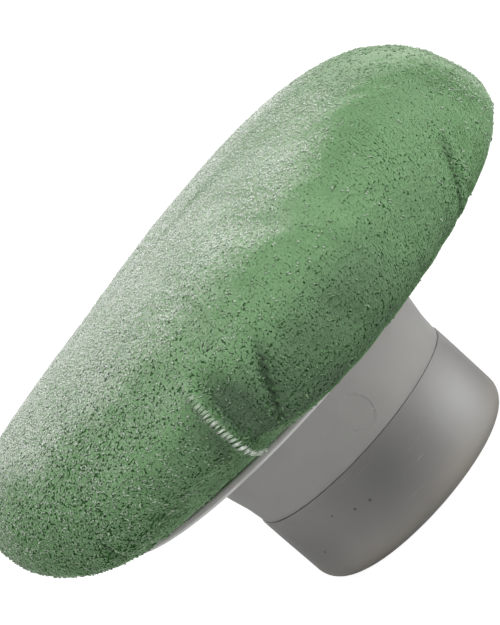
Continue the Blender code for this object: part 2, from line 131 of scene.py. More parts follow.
class Recipe:
    """A node tree of a material or a world, written as calls."""

    def __init__(self, name: str, world: bpy.types.World | None = None) -> None:
        """Empties a node tree to write on.

        Args:
            name: The name of the new material.
            world: A world that is written on instead.
        """
        self.material = world or bpy.data.materials.new(name)
        self.material.use_nodes = True
        self.tree = self.material.node_tree
        self.tree.nodes.clear()

    def node(
        self, kind: str, settings: dict[str, object] | None = None,
        inputs: dict[int | str, Value] | None = None, output: int | str = 0,
    ) -> Wire:
        """Adds one node.

        Args:
            kind: The node's type.
            settings: Properties that are set first; "stops" holds a ramp's places and colours.
            inputs: Values or wires of its sockets, by name or number.
            output: The socket that the wire comes from.

        Returns:
            The wire out of the node.
        """
        made = self.tree.nodes.new(kind)
        for key, value in (settings or {}).items():
            if key == "stops":
                self._set_stops(made.color_ramp, value)
            else:
                setattr(made, key, value)
        for key, value in (inputs or {}).items():
            socket = made.inputs[key]
            if isinstance(value, Wire):
                self.tree.links.new(value.socket, socket)
            elif socket.type == "RGBA" and len(value) == 3:
                socket.default_value = (*value, 1.0)
            else:
                socket.default_value = value
        return Wire(self, made.outputs[output])

    @staticmethod
    def _set_stops(ramp: bpy.types.ColorRamp, stops: Sequence[tuple[float, Colour]]) -> None:
        """Gives a ramp its stops.

        Args:
            ramp: The ramp.
            stops: Places and colours in order.
        """
        while len(ramp.elements) > 1:
            ramp.elements.remove(ramp.elements[-1])
        ramp.elements[0].position = stops[0][0]
        ramp.elements[0].color = (*stops[0][1], 1.0)
        for place, colour in stops[1:]:
            ramp.elements.new(place).color = (*colour, 1.0)

    def place(self) -> Wire:
        """Gives Object coordinates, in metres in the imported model's frame."""
        return self.node("ShaderNodeTexCoord", output="Object")

    def split(self, vector: Wire) -> tuple[Wire, Wire, Wire]:
        """Parts a vector.

        Args:
            vector: The vector.

        Returns:
            Its three parts.
        """
        first = self.node("ShaderNodeSeparateXYZ", inputs={0: vector})
        outputs = first.socket.node.outputs
        return first, Wire(self, outputs[1]), Wire(self, outputs[2])

    def noise(self, vector: Wire, per_metre: float, detail: float = 2.0, roughness: float = 0.5) -> Wire:
        """Gives a noise from 0 to 1 with that many cells to the metre."""
        inputs = {"Vector": vector, "Scale": per_metre, "Detail": detail, "Roughness": roughness}
        return self.node("ShaderNodeTexNoise", inputs=inputs)

    def distance(self, vector: Wire, spot: Spot) -> Wire:
        """Gives the distance from a place, in metres."""
        return self.node("ShaderNodeVectorMath", {"operation": "DISTANCE"}, {0: vector, 1: spot}, "Value")

    def blend(self, share: Value, first: Colour | Wire, second: Colour | Wire) -> Wire:
        """Mixes two colours."""
        return self.node("ShaderNodeMix", {"data_type": "RGBA"}, {0: share, 6: first, 7: second}, 2)

    def bump(self, height: Wire, depth: float, strength: float = 1.0) -> Wire:
        """Gives a normal bumped by a height of 0 to 1."""
        return self.node("ShaderNodeBump", inputs={"Strength": strength, "Distance": depth, "Height": height})

    def done(self, **inputs: Value) -> bpy.types.Material:
        """Ends the recipe in a Principled shader.

        Args:
            inputs: Its sockets, with underscores for the spaces of their names.

        Returns:
            The material.
        """
        named = {key.replace("_", " "): value for key, value in inputs.items()}
        return self.end(self.node("ShaderNodeBsdfPrincipled", inputs=named))

    def end(
        self, surface: Wire, kind: str = "ShaderNodeOutputMaterial"
    ) -> bpy.types.Material | bpy.types.World:
        """Leads a shader to the output node.

        Args:
            surface: The shader.
            kind: The output node's type.

        Returns:
            What the recipe is for.
        """
        out = self.tree.nodes.new(kind)
        self.tree.links.new(surface.socket, out.inputs["Surface"])
        return self.material


# Work at the bench: shapes made in edit mode


@dataclass(frozen=True)
class Corner:
    """A corner of a turned outline: its radius and height, and how far it is rounded."""

    radius: float
    height: float
    rounding: float = 0.0


def rounded(corners: Sequence[Corner], steps: int) -> list[tuple[float, float]]:
    """Gives an outline's points with its corners rounded.

    Args:
        corners: The corners in order; the first and last stay sharp.
        steps: Edges in each rounding.

    Returns:
        Points of radius and height.
    """
    points = [(corners[0].radius, corners[0].height)]
    for before, corner, after in zip(corners, corners[1:], corners[2:]):
        here = np.array([corner.radius, corner.height])
        if corner.rounding <= 0.0:
            points.append(tuple(here))
            continue
        back = np.array([before.radius, before.height]) - here
        ahead = np.array([after.radius, after.height]) - here
        back /= np.linalg.norm(back)
        ahead /= np.linalg.norm(ahead)
        half = math.acos(float(np.clip(back @ ahead, -1.0, 1.0))) / 2.0
        middle = here + (back + ahead) / np.linalg.norm(back + ahead) * corner.rounding / math.sin(half)
        start = here + back * corner.rounding / math.tan(half) - middle
        end = here + ahead * corner.rounding / math.tan(half) - middle
        sweep = math.pi - 2.0 * half
        for step in range(steps + 1):
            share = step / steps
            arm = (start * math.sin((1.0 - share) * sweep) + end * math.sin(share * sweep)) / math.sin(sweep)
            points.append(tuple(middle + arm))
    points.append((corners[-1].radius, corners[-1].height))
    return points


def choose_nothing() -> None:
    """Leaves object mode's selection empty."""
    for other in bpy.context.selected_objects:
        other.select_set(False)


def to_edit(piece: bpy.types.Object, mode: str = "VERT") -> None:
    """Opens a piece in edit mode with nothing selected.

    Args:
        piece: The piece.
        mode: What is selected there.
    """
    choose_nothing()
    piece.select_set(True)
    bpy.context.view_layer.objects.active = piece
    bpy.ops.object.mode_set(mode="EDIT")
    bpy.ops.mesh.select_mode(type=mode)
    bpy.ops.mesh.select_all(action="DESELECT")


def pick(piece: bpy.types.Object, wanted: Callable[[Vector], bool]) -> None:
    """Selects some vertices of a piece in edit mode, and nothing else.

    Args:
        piece: The piece.
        wanted: Says of a place whether it is wanted.
    """
    bpy.ops.mesh.select_mode(type="VERT")
    bpy.ops.mesh.select_all(action="DESELECT")
    bpy.ops.object.mode_set(mode="OBJECT")
    for vert in piece.data.vertices:
        vert.select = wanted(vert.co)
    bpy.ops.object.mode_set(mode="EDIT")


def close_up(piece: bpy.types.Object, smooth_angle: float = 32.0) -> None:
    """Ends edit mode: merges doubles, turns the faces outward and shades smooth between sharp edges.

    Args:
        piece: The piece.
        smooth_angle: The angle of a sharp edge, in degrees.
    """
    bpy.ops.mesh.select_all(action="SELECT")
    bpy.ops.mesh.remove_doubles(threshold=MERGE_DISTANCE)
    bpy.ops.mesh.normals_make_consistent(inside=False)
    bpy.ops.object.mode_set(mode="OBJECT")
    bpy.ops.object.transform_apply(location=True, rotation=True, scale=True)
    bpy.ops.object.shade_smooth_by_angle(angle=math.radians(smooth_angle))


def turned(name: str, corners: Sequence[Corner], sides: int, steps: int = 5) -> bpy.types.Object:
    """Turns an outline about Z by drawing a ring of edges from point to point.

    Args:
        name: The piece's name.
        corners: The outline. An end on the axis is closed to a pole, and an outline that ends
            where it starts is a closed ring.
        sides: Faces round the axis.
        steps: Edges in each rounded corner.

    Returns:
        The piece, closed, at the origin.
    """
    points = rounded(corners, steps)
    first_pole = points[0][0] == 0.0
    last_pole = points[-1][0] == 0.0
    path = points[1:] if first_pole else points
    path = path[:-1] if last_pole else path
    choose_nothing()
    bpy.ops.mesh.primitive_circle_add(vertices=sides, radius=path[0][0], location=(0.0, 0.0, path[0][1]))
    piece = bpy.context.object
    piece.name = name
    piece.data.name = name
    bpy.ops.object.transform_apply(location=True)
    to_edit(piece)
    bpy.ops.mesh.select_all(action="SELECT")
    for (radius, height), (next_radius, next_height) in pairwise(path):
        draw_ring(next_radius / radius, next_height - height)
    if last_pole:
        draw_ring(1.0, points[-1][1] - path[-1][1])
        bpy.ops.mesh.merge(type="CENTER")
    if first_pole:
        start_radius, start_height = path[0]
        pick(piece, lambda at: abs(at.xy.length - start_radius) < 1e-7 and abs(at.z - start_height) < 1e-7)
        draw_ring(1.0, points[0][1] - start_height)
        bpy.ops.mesh.merge(type="CENTER")
    close_up(piece)
    return piece


def draw_ring(widen: float, rise: float) -> None:
    """Extrudes the selected ring of edges.

    Args:
        widen: How many times as wide about Z the new ring is.
        rise: How far it is raised.
    """
    bpy.ops.mesh.extrude_region_move(TRANSFORM_OT_translate={"value": (0.0, 0.0, rise)})
    if widen != 1.0:
        bpy.ops.transform.resize(value=(widen, widen, 1.0), center_override=(0.0, 0.0, 0.0))


def apply_modifier(piece: bpy.types.Object, kind: str, **settings: object) -> None:
    """Adds a modifier and applies it at once.

    Args:
        piece: The piece.
        kind: The modifier's type.
        settings: Its settings by name.
    """
    choose_nothing()
    piece.select_set(True)
    bpy.context.view_layer.objects.active = piece
    modifier = piece.modifiers.new(kind.title(), kind)
    for key, value in settings.items():
        setattr(modifier, key, value)
    bpy.ops.object.modifier_apply(modifier=modifier.name)


def join(pieces: Sequence[bpy.types.Object]) -> bpy.types.Object:
    """Joins pieces.

    Args:
        pieces: The pieces.

    Returns:
        The first one, with all in it.
    """
    choose_nothing()
    for piece in pieces:
        piece.select_set(True)
    bpy.context.view_layer.objects.active = pieces[0]
    bpy.ops.object.join()
    return pieces[0]


def dress(
    piece: bpy.types.Object, finish: bpy.types.Material, body: str, nodes: Sequence[str] = ()
) -> None:
    """Finishes a piece.

    Args:
        piece: The piece.
        finish: Its material.
        body: The body that it moves with.
        nodes: The CAD nodes that it stands for, which are hidden.
    """
    piece.data.materials.clear()
    piece.data.materials.append(finish)
    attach(piece, body)
    if nodes:
        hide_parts(*nodes)
    log.info("%s: %d faces on %s", piece.name, len(piece.data.polygons), body)


def mesh_piece(
    name: str, points: np.ndarray, faces: np.ndarray, smooth: bool | np.ndarray = True
) -> bpy.types.Object:
    """Makes an object from arrays.

    Args:
        name: The piece's name.
        points: Its points.
        faces: Its faces, all with as many corners.
        smooth: Whether all or each of the faces shades smooth.

    Returns:
        The piece.
    """
    mesh = bpy.data.meshes.new(name)
    count, corners = faces.shape
    mesh.vertices.add(len(points))
    mesh.vertices.foreach_set("co", np.ascontiguousarray(points, np.float32).ravel())
    mesh.loops.add(count * corners)
    mesh.loops.foreach_set("vertex_index", np.ascontiguousarray(faces, np.int32).ravel())
    mesh.polygons.add(count)
    mesh.polygons.foreach_set("loop_start", np.arange(count, dtype=np.int32) * corners)
    mesh.polygons.foreach_set("use_smooth", np.full(count, smooth))
    mesh.update(calc_edges=True)
    mesh.validate()
    piece = bpy.data.objects.new(name, mesh)
    bpy.context.scene.collection.objects.link(piece)
    return piece


# Finishes


@dataclass(frozen=True)
class HandlePlastic:
    """Milky grey moulded plastic with scuffs, a soft cloud of colour, a few specks, and painted highlight and
    shade.
    """

    name: str = "handle_plastic"
    colour: Colour = (0.315, 0.305, 0.300)
    cloud: Colour = (0.270, 0.258, 0.252)
    warm: Colour = (0.410, 0.380, 0.330)
    speck_colour: Colour = (0.075, 0.062, 0.056)
    # edge colours the scuffs and the sharp edges; on the edges it is partly wear and partly a painted
    # highlight.
    edge: Colour = (0.560, 0.555, 0.545)
    # rim is the colour of a painted highlight along the plate rim's lower outer edge.
    rim: Colour = (0.780, 0.780, 0.765)
    warm_heights: tuple[float, float] = (0.0075, 0.0005)
    rim_highlight_radii: tuple[float, float] = (0.0328, 0.0332)
    rim_highlight_heights: tuple[float, float] = (0.02570, 0.02535)
    roughness: float = 0.42
    specks: tuple[tuple[Spot, float], ...] = ()
    # Soft patches, each a spot, radius, colour and strength: painted highlight, painted shade and darker
    # patches.
    highlight_and_shade_patches: tuple[tuple[Spot, float, Colour, float], ...] = ()

    def make(self) -> bpy.types.Material:
        """Makes the material.

        Returns:
            The material.
        """
        recipe = Recipe(self.name)
        place = recipe.place()
        _, _, height = recipe.split(place)
        cloud = recipe.noise(place, 95.0, 3.0).between(0.38, 0.68)
        fine = recipe.noise(place, 900.0, 4.0, 0.62)
        colour = recipe.blend(cloud * 0.75, self.colour, self.cloud)
        colour = recipe.blend(height.between(*self.warm_heights) * 0.6, colour, self.warm)
        flat = recipe.node("ShaderNodeVectorMath", {"operation": "MULTIPLY"}, {0: place, 1: (1.0, 1.0, 0.0)})
        # A painted highlight along the lower outer edge of the plate's rim.
        rim = recipe.distance(flat, (0.0, 0.0, 0.0)).between(*self.rim_highlight_radii)
        rim = rim * height.between(*self.rim_highlight_heights)
        colour = recipe.blend(rim * 0.9, colour, self.rim)
        # Soft patches of painted highlight and painted shade, and darker patches, blended in by distance.
        for spot, radius, tone, strength in self.highlight_and_shade_patches:
            colour = recipe.blend(recipe.distance(place, spot).between(radius, 0.0) * strength, colour, tone)
        streaks = recipe.node("ShaderNodeMapping", inputs={"Vector": place, "Scale": (1.0, 1.0, 9.0)})
        scuff = recipe.noise(streaks, 210.0, 5.0, 0.7).between(0.60, 0.80)
        colour = recipe.blend(scuff * 0.35, colour, self.edge)
        # Sharp edges turn paler: partly wear, partly a painted highlight where they catch the light.
        edge_wear_and_highlight = recipe.node("ShaderNodeNewGeometry", output="Pointiness").between(0.515, 0.60)
        colour = recipe.blend(edge_wear_and_highlight * 0.8, colour, self.edge)
        mark: Value = 0.0
        for spot, radius in self.specks:
            here = recipe.distance(place, spot).between(radius, radius * 0.45)
            mark = here if mark == 0.0 else mark.math("MAXIMUM", mark, here)
        if isinstance(mark, Wire):
            colour = recipe.blend(mark * 0.85, colour, self.speck_colour)
        rough = self.roughness + fine * 0.12 + scuff * 0.10
        ripple = recipe.noise(place, 160.0, 2.0) * 0.7 + fine * 0.3
        return recipe.done(
            Base_Color=colour, Roughness=rough, Normal=recipe.bump(ripple, 0.00006), IOR=1.49,
            Coat_Roughness=0.3,
        )


@dataclass(frozen=True)
class MouldedWhite:
    """Satin off-white plastic of the inner pieces, with flow marks."""

    name: str = "inner_plastic"
    colour: Colour = (0.74, 0.74, 0.72)
    flow: Colour = (0.66, 0.66, 0.63)

    def make(self) -> bpy.types.Material:
        """Makes the material.

        Returns:
            The material.
        """
        recipe = Recipe(self.name)
        place = recipe.place()
        flow = recipe.noise(place, 140.0, 3.0).between(0.4, 0.7)
        fine = recipe.noise(place, 1500.0, 3.0, 0.6)
        colour = recipe.blend(flow * 0.7, self.colour, self.flow)
        return recipe.done(
            Base_Color=colour, Roughness=0.36 + fine * 0.14, Normal=recipe.bump(fine, 0.00003), IOR=1.49,
        )


@dataclass(frozen=True)
class CellFoam:
    """Soft open-cell or closed-cell foam, with pores."""

    name: str
    colour: Colour
    pore: Colour
    pores_per_metre: float
    depth: float

    def make(self) -> bpy.types.Material:
        """Makes the material.

        Returns:
            The material.
        """
        recipe = Recipe(self.name)
        place = recipe.place()
        inputs = {"Vector": place, "Scale": self.pores_per_metre}
        cell = recipe.node("ShaderNodeTexVoronoi", inputs=inputs, output="Distance")
        pore = cell.between(0.15, 0.55)
        cloud = recipe.noise(place, 130.0, 2.0)
        colour = recipe.blend(pore * (0.55 + cloud * 0.4), self.pore, self.colour)
        return recipe.done(
            Base_Color=colour, Roughness=0.93 - pore * 0.08, Normal=recipe.bump(pore, self.depth),
        )


@dataclass(frozen=True)
class TwistedCotton:
    """White cotton cord, shaded by its own fibres along the strand."""

    name: str = "hem_cord"
    colour: Colour = (0.80, 0.80, 0.76)
    shade: Colour = (0.55, 0.56, 0.51)

    def make(self) -> bpy.types.Material:
        """Makes the material.

        Returns:
            The material.
        """
        recipe = Recipe(self.name)
        own = recipe.node("ShaderNodeUVMap", {"uv_map": "Strand"})
        along = recipe.node("ShaderNodeMapping", inputs={"Vector": own, "Scale": (1.0, 26.0, 1.0)})
        fibre = recipe.noise(along, 60.0, 3.0, 0.6)
        colour = recipe.blend(fibre.between(0.35, 0.65), self.shade, self.colour)
        return recipe.done(
            Base_Color=colour, Roughness=0.80 + fibre * 0.12, Normal=recipe.bump(fibre, 0.00005),
            Sheen_Weight=0.3,
        )


@dataclass(frozen=True)
class KnitBacking:
    """The knitted ground of the pile cloth, with its ribs."""

    name: str = "plush_ground"
    colour: Colour = (0.140, 0.320, 0.116)
    rib: Colour = (0.165, 0.360, 0.140)
    rib_spacing: float = 0.00082
    rib_turn: float = math.radians(-52.0)

    def make(self) -> bpy.types.Material:
        """Makes the material.

        Returns:
            The material.
        """
        recipe = Recipe(self.name)
        own = recipe.node("ShaderNodeUVMap", {"uv_map": "Cloth"})
        turn = recipe.node("ShaderNodeMapping", inputs={"Vector": own, "Rotation": (0.0, 0.0, -self.rib_turn)})
        _, across, _ = recipe.split(turn)
        phase = across * (2.0 * math.pi / self.rib_spacing)
        rib = phase.math("SINE", phase) * 0.5 + 0.5
        fuzz = recipe.noise(own, 2600.0, 2.0)
        colour = recipe.blend(rib * fuzz, self.colour, self.rib)
        return recipe.done(
            Base_Color=colour, Roughness=0.85 + fuzz * 0.1, Normal=recipe.bump(rib * 0.6 + fuzz * 0.4, 0.00015),
        )


@dataclass(frozen=True)
class PileFibre:
    """The fibres of the pile: darker at the root with painted shade, paler at the tip with a painted sheen, and
    pale where their tint is high.

    A fibre's own map holds its tint across and its height up, both from 0 to 1.
    """

    name: str = "plush_pile"
    tints: tuple[tuple[float, Colour], ...] = (
        (0.00, (0.028, 0.086, 0.025)),
        (0.45, (0.136, 0.305, 0.112)),
        (0.65, (0.430, 0.560, 0.395)),
        (0.82, (0.740, 0.810, 0.715)),
        (1.00, (0.940, 0.970, 0.925)),
    )
    painted_root_shade: Colour = (0.88, 0.93, 0.86)
    painted_sheen_colour: Colour = (0.700, 0.780, 0.670)
    painted_sheen: float = 0.10

    def make(self) -> bpy.types.Material:
        """Makes the material.

        Returns:
            The material.
        """
        recipe = Recipe(self.name)
        own = recipe.node("ShaderNodeUVMap", {"uv_map": "OFBake"})
        tint, rise, _ = recipe.split(own)
        colour = recipe.node("ShaderNodeValToRGB", {"stops": self.tints}, {0: tint}, "Color")
        multiply = {"data_type": "RGBA", "blend_type": "MULTIPLY"}
        # Painted shade darkens the fibres towards the root, and a painted sheen pales their tips.
        shaded = recipe.node("ShaderNodeMix", multiply, {0: 1.0, 6: colour, 7: self.painted_root_shade}, 2)
        colour = recipe.blend(rise.between(0.0, 0.75), shaded, colour)
        colour = recipe.blend(rise.between(0.60, 1.0) * self.painted_sheen, colour, self.painted_sheen_colour)
        return recipe.done(
            Base_Color=colour, Roughness=0.60 - tint * 0.12, IOR=1.5, Specular_IOR_Level=0.2, Sheen_Weight=0.12,
            Sheen_Roughness=0.4, Sheen_Tint=(0.94, 1.0, 0.92, 1.0),
        )


# The handle


@dataclass
class ScrewThread:
    """A rounded right-handed ridge that winds up a wall and sinks into it at both ends."""

    wall: float
    reach: float
    start_height: float
    pitch: float = 0.0030
    turns: int = 2
    root_width: float = 0.0013
    steps_per_turn: int = 72

    def model(self, name: str) -> bpy.types.Object:
        """Winds a rounded section up the wall.

        Args:
            name: The piece's name.

        Returns:
            The piece.
        """
        choose_nothing()
        bpy.ops.mesh.primitive_circle_add(
            vertices=10, radius=1.0, rotation=(math.radians(90.0), 0.0, 0.0),
            location=(self.wall, 0.0, self.start_height),
        )
        piece = bpy.context.object
        piece.name = name
        piece.scale = (self.reach, self.root_width / 2.0, 1.0)
        bpy.ops.object.transform_apply(location=True, rotation=True, scale=True)
        apply_modifier(
            piece, "SCREW", axis="Z", angle=2.0 * math.pi, screw_offset=self.pitch, iterations=self.turns,
            steps=self.steps_per_turn, render_steps=self.steps_per_turn,
        )
        to_edit(piece)
        top = self.start_height + self.pitch * self.turns
        inward = self.wall - math.copysign(abs(self.reach) * 0.7, self.reach)
        near = self.root_width / 1.9
        for height in (self.start_height, top):
            pick(piece, lambda at, h=height: abs(at.y) < 1e-6 and abs(at.z - h) < near and at.x > 0.0)
            bpy.ops.transform.resize(value=(0.12, 0.12, 0.3), center_override=(inward, 0.0, height))
            bpy.ops.mesh.edge_face_add()
        close_up(piece, 60.0)
        return piece


@dataclass
class ScrewCap:
    """The closed cap that screws over the spigot and is the foot of the puff."""

    rim_radius: float = 0.0180
    end_radius: float = 0.0179
    height: float = 0.0133
    bore_radius: float = 0.01645
    floor: float = 0.0016
    end_round: float = 0.0030
    foot_recess: float = 0.00035
    foot_inner: float = 0.0122
    sides: int = 144
    thread_reach: float = 0.0011
    thread_start: float = 0.0041
    specks: tuple[tuple[Spot, float], ...] = (
        ((-0.00781, -0.01615, 0.0087), 0.00028),
        ((-0.01057, -0.01451, 0.00999), 0.00022),
        ((-0.01503, -0.00981, 0.00623), 0.00024),
        ((-0.0056, -0.01705, 0.00823), 0.00030),
    )
    # The cap's soft patches: a darker patch round the middle of its -Y side, painted shade on its -X side and a
    # painted highlight on its +X side.
    highlight_and_shade_patches: tuple[tuple[Spot, float, Colour, float], ...] = (
        ((-0.0015, -0.0178, 0.0100), 0.0120, (0.175, 0.172, 0.166), 0.95),
        ((-0.0160, -0.0080, 0.0070), 0.0080, (0.230, 0.226, 0.216), 0.70),
        ((0.0128, -0.0128, 0.0075), 0.0090, (0.520, 0.515, 0.510), 0.90),
    )

    def model(self) -> bpy.types.Object:
        """Turns the cap, with a foot ring round its recessed end, and winds its inner thread.

        Returns:
            The piece.
        """
        shell = turned(
            "screw_cap",
            [
                Corner(0.0, self.foot_recess),
                Corner(self.foot_inner - 0.0004, self.foot_recess, 0.0004),
                Corner(self.foot_inner, 0.0, 0.0002),
                Corner(self.end_radius, 0.0, self.end_round),
                Corner(self.rim_radius, self.height - 0.0030),
                Corner(self.rim_radius, self.height, 0.00007),
                Corner(self.bore_radius, self.height, 0.00025),
                Corner(self.bore_radius, self.floor, 0.0005),
                Corner(0.0, self.floor),
            ],
            self.sides,
            8,
        )
        thread = ScrewThread(self.bore_radius, -self.thread_reach, self.thread_start).model("cap_thread")
        return join([shell, thread])

    def build(self) -> None:
        """Makes and dresses the cap."""
        plastic = HandlePlastic("cap_plastic", specks=self.specks, highlight_and_shade_patches=self.highlight_and_shade_patches).make()
        dress(self.model(), plastic, BODY_CAP, ["handle_cap"])


@dataclass
class NeckPlate:
    """Neck, flared flange and threaded spigot in one moulding, with the staked pegs."""

    neck_base: float = 0.01332
    seam_radius: float = 0.01778
    plate_base: float = 0.0251
    plate_top: float = 0.02625
    plate_radius: float = 0.0334
    spigot_radius: float = 0.0150
    spigot_mouth: float = 0.0032
    mouth_radius: float = 0.0137
    chamber_top: float = 0.0135
    sifter_seat: float = 0.0152
    sifter_ledge: float = 0.02455
    thread_reach: float = 0.0011
    thread_start: float = 0.0056
    peg_circle: float = 0.0172
    peg_count: int = 6
    peg_radius: float = 0.0012
    head_radius: float = 0.0020
    head_base: float = 0.02835
    head_height: float = 0.0008
    sides: int = 144
    mark_centre: Spot = (0.00178, -0.01833, 0.01756)
    mark_half: tuple[float, float] = (0.0023, 0.0027)
    mark_wall: tuple[float, float] = (0.0176, 0.0197)
    mark_depth: float = 0.00010

    def model(self) -> bpy.types.Object:
        """Turns the plate and adds its thread, pegs and mould mark.

        Returns:
            The piece.
        """
        skirt_bore = self.seam_radius - 0.00145
        roof = self.sifter_ledge - 0.0015
        plate = turned(
            "neck_plate",
            [
                Corner(self.sifter_seat, self.plate_top),
                Corner(self.plate_radius, self.plate_top, 0.00045),
                Corner(self.plate_radius, self.plate_base, 0.00045),
                Corner(0.0206, self.plate_base, 0.0012),
                Corner(0.0192, 0.0222, 0.0060),
                Corner(0.0187, 0.0190, 0.0080),
                Corner(0.0181, 0.0162, 0.0080),
                Corner(self.seam_radius, self.neck_base, 0.00004),
                Corner(skirt_bore, self.neck_base, 0.0002),
                Corner(skirt_bore + 0.0009, roof, 0.0004),
                Corner(self.spigot_radius, roof, 0.0004),
                Corner(self.spigot_radius, self.spigot_mouth, 0.0004),
                Corner(self.mouth_radius, self.spigot_mouth, 0.0003),
                Corner(self.chamber_top, self.sifter_ledge, 0.0001),
                Corner(self.sifter_seat, self.sifter_ledge),
                Corner(self.sifter_seat, self.plate_top),
            ],
            self.sides,
            6,
        )
        self.press_mark(plate)
        thread = ScrewThread(self.spigot_radius, self.thread_reach, self.thread_start).model("spigot_thread")
        return join([plate, thread, *self.pegs()])

    def press_mark(self, plate: bpy.types.Object) -> None:
        """Presses the shallow oval mould mark into the neck's wall.

        Args:
            plate: The turned plate.
        """
        centre = Vector(self.mark_centre)
        wide, tall = self.mark_half
        inner, outer = self.mark_wall

        def near(at: Vector) -> bool:
            """Says whether a place is on the wall round the mark."""
            beside = abs(at.x - centre.x) < wide * 1.7 and abs(at.z - centre.z) < tall * 1.7
            return beside and at.y < 0.0 and inner < at.xy.length < outer

        def inside(at: Vector) -> bool:
            """Says whether a place is in the mark's oval."""
            oval = ((at.x - centre.x) / wide) ** 2 + ((at.z - centre.z) / tall) ** 2 < 1.0
            return oval and at.y < 0.0 and at.xy.length > inner - 0.0004

        to_edit(plate)
        pick(plate, near)
        bpy.ops.mesh.select_mode(type="FACE")
        bpy.ops.mesh.subdivide(number_cuts=9, smoothness=0.0)
        pick(plate, inside)
        bpy.ops.transform.shrink_fatten(value=-self.mark_depth)
        close_up(plate)

    def pegs(self) -> list[bpy.types.Object]:
        """Makes the pegs with the heads that were pressed over the clamp disc.

        Returns:
            Shafts and heads.
        """
        made = []
        for index in range(self.peg_count):
            turn = 2.0 * math.pi * index / self.peg_count
            at = (self.peg_circle * math.cos(turn), self.peg_circle * math.sin(turn))
            foot = self.plate_top - 0.0006
            for radius, low, high in (
                (self.peg_radius, foot, self.head_base + 0.0002),
                (self.head_radius, self.head_base, self.head_base + self.head_height),
            ):
                choose_nothing()
                bpy.ops.mesh.primitive_cylinder_add(
                    vertices=24, radius=radius, depth=high - low, location=(*at, (low + high) / 2.0)
                )
                made.append(bpy.context.object)
                apply_modifier(made[-1], "BEVEL", width=0.00025, segments=3, limit_method="ANGLE")
                to_edit(made[-1])
                close_up(made[-1], 40.0)
        return made

    def build(self) -> None:
        """Makes and dresses the plate."""
        plastic = HandlePlastic("plate_plastic", (0.400, 0.392, 0.380), (0.350, 0.342, 0.330)).make()
        dress(self.model(), plastic, BODY_PUFF, ["back_plate"])


@dataclass
class InnerDiscs:
    """The clamp disc and the sifter disc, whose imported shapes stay, and the cap's soft liner."""

    liner_radius: float = 0.01605
    liner_base: float = 0.0019
    liner_top: float = 0.0029
    spigot_ring: tuple[float, float] = (0.0137, 0.0150)
    print_depth: float = 0.00006

    def model_liner(self) -> bpy.types.Object:
        """Turns the sealing disc, with the faint ring that the spigot's mouth has pressed into it.

        Returns:
            The piece.
        """
        inner, outer = self.spigot_ring
        low = self.liner_top - self.print_depth
        return turned(
            "cap_sealing_disc",
            [
                Corner(0.0, self.liner_base),
                Corner(self.liner_radius, self.liner_base, 0.00015),
                Corner(self.liner_radius, self.liner_top, 0.00025),
                Corner(outer + 0.0002, self.liner_top, 0.0003),
                Corner(outer, low, 0.0001),
                Corner(inner, low, 0.0001),
                Corner(inner - 0.0002, self.liner_top, 0.0003),
                Corner(0.0, self.liner_top),
            ],
            96,
            4,
        )

    def build(self) -> None:
        """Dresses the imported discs, and makes and dresses the liner."""
        white = MouldedWhite().make()
        foam = CellFoam("liner_foam", (0.66, 0.67, 0.66), (0.50, 0.51, 0.50), 2600.0, 0.00004).make()
        for name in ("clamp_disc", "sifter_disc"):
            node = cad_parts[name]
            node.data.materials.clear()
            node.data.materials.append(white)
            log.info("%s: packed shape kept", name)
        liner = self.model_liner()
        dress(liner, foam, BODY_LINER, ["cap_liner"])


# The pad


@dataclass(frozen=True)
class Crease:
    """A fold in the cloth that runs up the pad's back, with its valley and the ridge beside it."""

    turn_low: float
    height_low: float
    turn_high: float
    height_high: float
    depth: float
    width: float
    ridge: float = 0.0
    ridge_at: float = 0.0
    ridge_width: float = 0.0007
    white: float = 0.0

    def apart(self, turn: np.ndarray, height: np.ndarray, radius: np.ndarray) -> tuple[np.ndarray, np.ndarray]:
        """Tells where points are across and along the fold.

        Args:
            turn: Their turns about Z, in radians.
            height: Their heights.
            radius: Their distances from Z.

        Returns:
            The distance across the fold, and a weight that fades past its ends.
        """
        share = (height - self.height_low) / (self.height_high - self.height_low)
        line = self.turn_low + (self.turn_high - self.turn_low) * np.clip(share, -0.5, 1.3)
        off = (np.degrees(turn) - line + 180.0) % 360.0 - 180.0
        fade = smooth_step(share, -0.35, 0.10) * smooth_step(share, 1.35, 0.75)
        return np.radians(off) * radius, fade

    def beside(self, across: np.ndarray) -> np.ndarray:
        """Gives the distance from the ridge, in widths of the ridge."""
        return (across - self.ridge_at) / self.ridge_width

    def push(self, turn: np.ndarray, height: np.ndarray, radius: np.ndarray) -> np.ndarray:
        """Tells how far the cloth moves outward.

        Args:
            turn: The points' turns about Z, in radians.
            height: Their heights.
            radius: Their distances from Z.

        Returns:
            The distances.
        """
        across, fade = self.apart(turn, height, radius)
        valley = -self.depth * np.exp(-((across / self.width) ** 2))
        return fade * (valley + self.ridge * np.exp(-(self.beside(across) ** 2)))


def smooth_step(value: np.ndarray, low: float, high: float) -> np.ndarray:
    """Gives 0 at low, 1 at high and a smooth step between; low may be the larger."""
    share = np.clip((value - low) / (high - low), 0.0, 1.0)
    return share * share * (3.0 - 2.0 * share)


def bump_at(turn: np.ndarray, middle: float, reach: float) -> np.ndarray:
    """Gives a soft hill of height 1 round one turn; all are in degrees."""
    off = (turn - middle + 180.0) % 360.0 - 180.0
    return np.exp(-((off / reach) ** 2))


